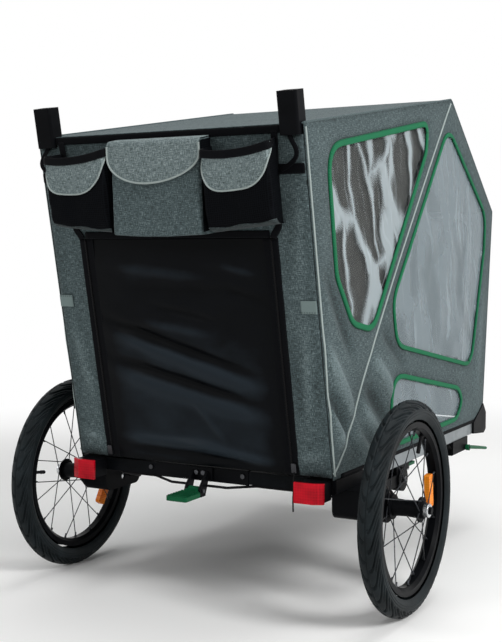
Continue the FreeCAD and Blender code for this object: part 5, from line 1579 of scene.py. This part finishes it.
@dataclass
class Wheel:
    """A tyre with a curved directional tread, a valve and spoke nipples.

    Places across the tread are angles round the section from the crown, in radians. The nipple and the valve
    are (distance towards the axle, radius) points in millimetres.
    """

    side: Side
    radius: float = 0.200
    section: float = 0.021
    bead_angle: float = 2.35
    repeats: int = 34
    samples: int = 24
    ring: int = 96
    groove: float = 0.0036
    tread_band: tuple[float, ...] = (0.08, 0.16, 1.22, 1.34)
    notch_band: tuple[float, ...] = (0.62, 0.72, 1.14, 1.24)
    notch_depth: float = 0.75
    shoulders: tuple[Pair, ...] = ((1.44, 0.4), (1.70, 0.3))
    shoulder_half: float = 0.03
    crown_depth: float = 0.6
    crown_half: float = 0.05
    nipple_count: int = 20
    nipple_tilt: float = 0.00325
    nipple: tuple[Pair, ...] = ((-1, 0), (-1, 2.4), (2, 2.4), (3, 1.9), (9, 1.7), (9.4, 1.2), (9.4, 0))
    valve: tuple[Pair, ...] = ((-1, 0), (-1, 4.2), (3, 4.2), (4, 3.4), (22, 3.2), (23, 4.0),
                               (34, 4.0), (35.5, 3.2), (35.5, 0))
    turned_sides: int = 10
    rim_inner: float = 0.144

    @property
    def centre(self) -> Array:
        """The wheel's middle."""
        low, high = (np.array(c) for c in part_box(f"tyre_{self.side.word}"))
        return (low + high) / 2

    def grooves(self, turn: Array, lean: Array) -> Array:
        """Depth of the tread: curved grooves that sweep back from the crown, and two shoulder lines."""
        tilt = np.abs(lean)
        sweep = turn * self.repeats / (2 * np.pi) + 0.9 * tilt ** 1.5 - 0.18 * np.sin(4.2 * tilt)
        sweep = sweep + 0.5 * (lean > 0)
        phase = np.abs((sweep % 1) - 0.5)
        wide = 0.13 + 0.10 * eased(tilt, 0.3, 1.2)
        cut = 1 - eased(phase, wide * 0.6, wide)
        small = np.abs(((sweep + 0.5) % 1) - 0.5)
        notch = (1 - eased(small, 0.05, 0.09)) * banded(tilt, self.notch_band)
        shoulder = sum(np.exp(-((tilt - place) / self.shoulder_half) ** 2) * depth
                       for place, depth in self.shoulders)
        crown = self.crown_depth * np.exp(-(tilt / self.crown_half) ** 2)
        cuts = [cut * banded(tilt, self.tread_band), self.notch_depth * notch, shoulder, crown]
        return self.groove * np.maximum.reduce(cuts)

    def tyre(self) -> None:
        """A ring whose section is a circle, less the tread's depth, open towards the rim."""
        around = self.repeats * self.samples
        turn, lean = crossed(np.linspace(0, 2 * np.pi, around, endpoint=False),
                             np.linspace(-self.bead_angle, self.bead_angle, self.ring))
        r = self.section - self.grooves(turn, lean)
        reach = self.radius - self.section + r * np.cos(lean)
        x, y, z = self.centre
        points = np.stack([x + r * np.sin(lean), y + reach * np.cos(turn), z + reach * np.sin(turn)], axis=-1)
        uv = np.stack([turn * self.radius, lean * self.section], axis=-1)
        piece = grid_object(f"tyre_tread_{self.side.word}", points, uv, RUBBER, wrap_rows=True, flip=True)
        rides(piece, f"wheel_{self.side.word}", "tyre_rubber", f"tyre_{self.side.word}")

    def turned(self, name: str, sizes: Sequence[Pair], angles: Array, tilt: Array, finish: Finish,
               slot: str) -> None:
        """Copies of a small turned piece that point to the axle from the rim.

        Args:
            name: the piece's name without its side.
            sizes: (distance towards the axle, radius) points in millimetres.
            angles: where round the wheel each copy stands.
            tilt: sideways place of each copy.
            finish: their finish.
            slot: their material slot.
        """
        profile, count, start = MM * np.array(sizes), self.turned_sides, self.rim_inner
        spin = np.linspace(0, 2 * np.pi, count, endpoint=False)
        inward = np.stack([np.zeros_like(angles), -np.cos(angles), -np.sin(angles)], axis=-1)
        side = np.broadcast_to([1.0, 0.0, 0.0], inward.shape)
        third = np.cross(inward, side)
        foot = self.centre + np.stack([tilt, start * np.cos(angles), start * np.sin(angles)], axis=-1)
        ring = side[:, None] * np.cos(spin)[None, :, None] + third[:, None] * np.sin(spin)[None, :, None]
        points = (foot[:, None, None] + inward[:, None, None] * profile[None, :, None, :1]
                  + ring[:, None] * profile[None, :, None, 1:])
        rows = len(profile)
        base = grid_faces(rows, count, wrap_columns=True)
        faces = np.concatenate([base + k * rows * count for k in range(len(angles))])
        flat = points.reshape(-1, 3)
        piece = mesh_object(f"{name}_{self.side.word}", flat, faces, flat[:, 1:], finish)
        rides(piece, f"wheel_{self.side.word}", slot)

    def build(self) -> None:
        """Make the tyre, the nipples, which lean to both sides in turn, and the valve."""
        self.tyre()
        number = np.arange(self.nipple_count)
        tilt = np.where(number % 2 == 1, 1, -1) * self.nipple_tilt * self.side.value
        angles = 2 * np.pi * number / self.nipple_count
        self.turned("spoke_nipples", self.nipple, angles, tilt, BLACK_STEEL, "steel")
        place = np.array([math.radians(172.0 if self.side is Side.LEFT else 60.0)])
        self.turned("tyre_valve", self.valve, place, np.zeros(1), CABLE_SHEATH, "cable_black")


# Inside and small pieces

@dataclass
class FloorMat:
    """The padded floor mat: a quilted pad with rounded edges and sewn channels."""

    channels: int = 6
    dip: float = 0.0035
    rows: int = 90
    columns: int = 130

    def build(self) -> None:
        """A superellipse slab whose top dips along evenly spaced channels across it."""
        low, high = (np.array(c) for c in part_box("floor_mat"))
        middle, half = (low + high) / 2, (high - low) / 2
        s, t = crossed(np.linspace(-1, 1, self.rows), np.linspace(-1, 1, self.columns))
        edge = ((1 - np.abs(s) ** 24) * (1 - np.abs(t) ** 36)) ** 0.5
        channel = np.abs(np.sin(np.pi * self.channels * (t + 1) / 2)) ** 0.35
        top = low[2] + (high[2] - low[2]) * edge - self.dip * (1 - channel) * edge
        x, y = middle[0] + s * half[0], middle[1] + t * half[1]
        upper = np.stack([x, y, top], axis=-1)
        under = np.stack([x, y, np.full_like(x, low[2] + 0.0003)], axis=-1)
        points = np.concatenate([upper.reshape(-1, 3), under.reshape(-1, 3)])
        faces = grid_faces(self.rows, self.columns)
        faces = np.concatenate([faces, faces[:, ::-1] + s.size])
        piece = mesh_object("floor_mat_pad", points, faces, points[:, :2], QUILT)
        rides(piece, "base", "mat_fabric", "floor_mat")


@dataclass
class PullCord:
    """The short cord on the right zip slider, along the route that its solid follows."""

    diameter: float = 0.003
    length: float = 0.0718
    route: tuple[tuple[float, float, float], ...] = (
        (0.2050, -0.1165, 0.2700), (0.2056, -0.1210, 0.2540), (0.2068, -0.1226, 0.2360),
        (0.2062, -0.1242, 0.2170), (0.2074, -0.1246, 0.1990))

    def build(self) -> None:
        """A smooth spline through the frame's route, with the axle's place added along Y."""
        curve = bpy.data.curves.new("zip_pull", "CURVE")
        curve.dimensions = "3D"
        curve.bevel_depth = self.diameter / 2
        curve.bevel_resolution = 3
        curve.use_fill_caps = True
        spline = curve.splines.new("NURBS")
        spline.points.add(len(self.route) - 1)
        for point, (x, y, z) in zip(spline.points, self.route):
            point.co = (x, y + AXLE_Y, z, 1.0)
        spline.order_u = 3
        spline.use_endpoint_u = True
        spline.resolution_u = 8
        curve.materials.append(CORD_COVER.material())
        piece = bpy.data.objects.new("zip_pull", curve)
        bpy.context.scene.collection.objects.link(piece)
        rides(piece, "rear_frame", "black_webbing", "zip_pull_cord")
        x, y, z = self.route[0]


# Studio

@dataclass(frozen=True)
class Lamp:
    """A square soft light: its name, place, side in metres and power in watts."""

    name: str
    place: tuple[float, float, float]
    size: float
    power: float

    def build(self, aim: tuple[float, float, float]) -> None:
        """Set the lamp up so that it points at a place."""
        data = bpy.data.lights.new(self.name, "AREA")
        data.shape = "SQUARE"
        data.size = self.size
        data.energy = self.power
        lamp = bpy.data.objects.new(self.name, data)
        lamp.location = self.place
        lamp.rotation_euler = (Vector(aim) - Vector(self.place)).to_track_quat("-Z", "Y").to_euler()
        bpy.context.scene.collection.objects.link(lamp)


@dataclass
class Studio:
    """The floor, the soft lights and the camera."""

    eye: tuple[float, float, float] = (1.131, -1.971 + AXLE_Y, 0.671)
    turn_deg: float = 28.71
    tilt_deg: float = 3.42
    lens_mm: float = 64.2
    sensor_mm: float = 36.0
    far: float = 200.0
    floor_half: float = 30.0
    ambient: float = 0.40
    aim: tuple[float, float, float] = (0.0, -0.3, 0.55)
    lamps: tuple[Lamp, ...] = (
        Lamp("key", (3.9, -1.5, 2.9), 1.5, 150.0),
        Lamp("fill", (-2.6, -3.4, 2.6), 1.8, 32.0),
        Lamp("top", (0.3, 0.4, 4.2), 2.4, 60.0),
    )

    def camera(self) -> None:
        """A level camera at the rear right corner, turned towards the trailer."""
        data = bpy.data.cameras.new("camera")
        data.lens = self.lens_mm
        data.sensor_width = self.sensor_mm
        data.sensor_fit = "AUTO"
        data.clip_end = self.far
        camera = bpy.data.objects.new("camera", data)
        camera.location = self.eye
        camera.rotation_euler = (math.radians(90 - self.tilt_deg), 0, math.radians(self.turn_deg))
        bpy.context.scene.collection.objects.link(camera)
        bpy.context.scene.camera = camera

    def surroundings(self) -> None:
        """Even grey light all round, which camera, glossy and transmitted rays see as white."""
        world = bpy.data.worlds.new("studio")
        world.use_nodes = True
        bpy.context.scene.world = world
        tree = world.node_tree
        tree.nodes.clear()
        strength = add(tree, "MapRange", {"Value": sees_white(tree), "To Min": self.ambient, "To Max": 1.0})
        light = add(tree, "Background", {"Color": (1, 1, 1, 1), "Strength": strength})
        add(tree, "OutputWorld", {"Surface": light})

    def floor(self) -> None:
        """A wide pale floor."""
        n = self.floor_half
        corners = np.array([(-n, -n, 0), (n, -n, 0), (n, n, 0), (-n, n, 0)], dtype=float)
        square = np.array([[0, 1, 2, 3]])
        mesh_object("studio_floor", corners, square, corners[:, :2], StudioFloor("pale_paper"))

    def build(self) -> None:
        """Set up the view, the floor and the light."""
        bpy.context.scene.view_settings.view_transform = "Standard"
        self.camera()
        self.surroundings()
        self.floor()
        for lamp in self.lamps:
            lamp.build(self.aim)


def dress_frame() -> None:
    """Give every CAD node that stays in sight its finish."""
    for name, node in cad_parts.items():
        finish = CAD_FINISHES.get(name)
        if finish is None:
            continue
        node.data.materials.clear()
        node.data.materials.append(finish.material())
        log.info("%s keeps its shape in %s", name, finish.name)


def main() -> None:
    """Build the studio, the cord and every sub-assembly in order."""
    logging.basicConfig(level=logging.INFO, format="%(message)s")
    Studio().build()
    PullCord().build()
    dress_frame()
    for side in Side:
        SideCover(side).build()
    CabinTop().build()
    RearWall().build()
    for side in Side:
        SidePocket(side).build()
    CentrePocket().build()
    for side in Side:
        Wheel(side).build()
    FloorMat().build()


if __name__ == "__main__":
    main()
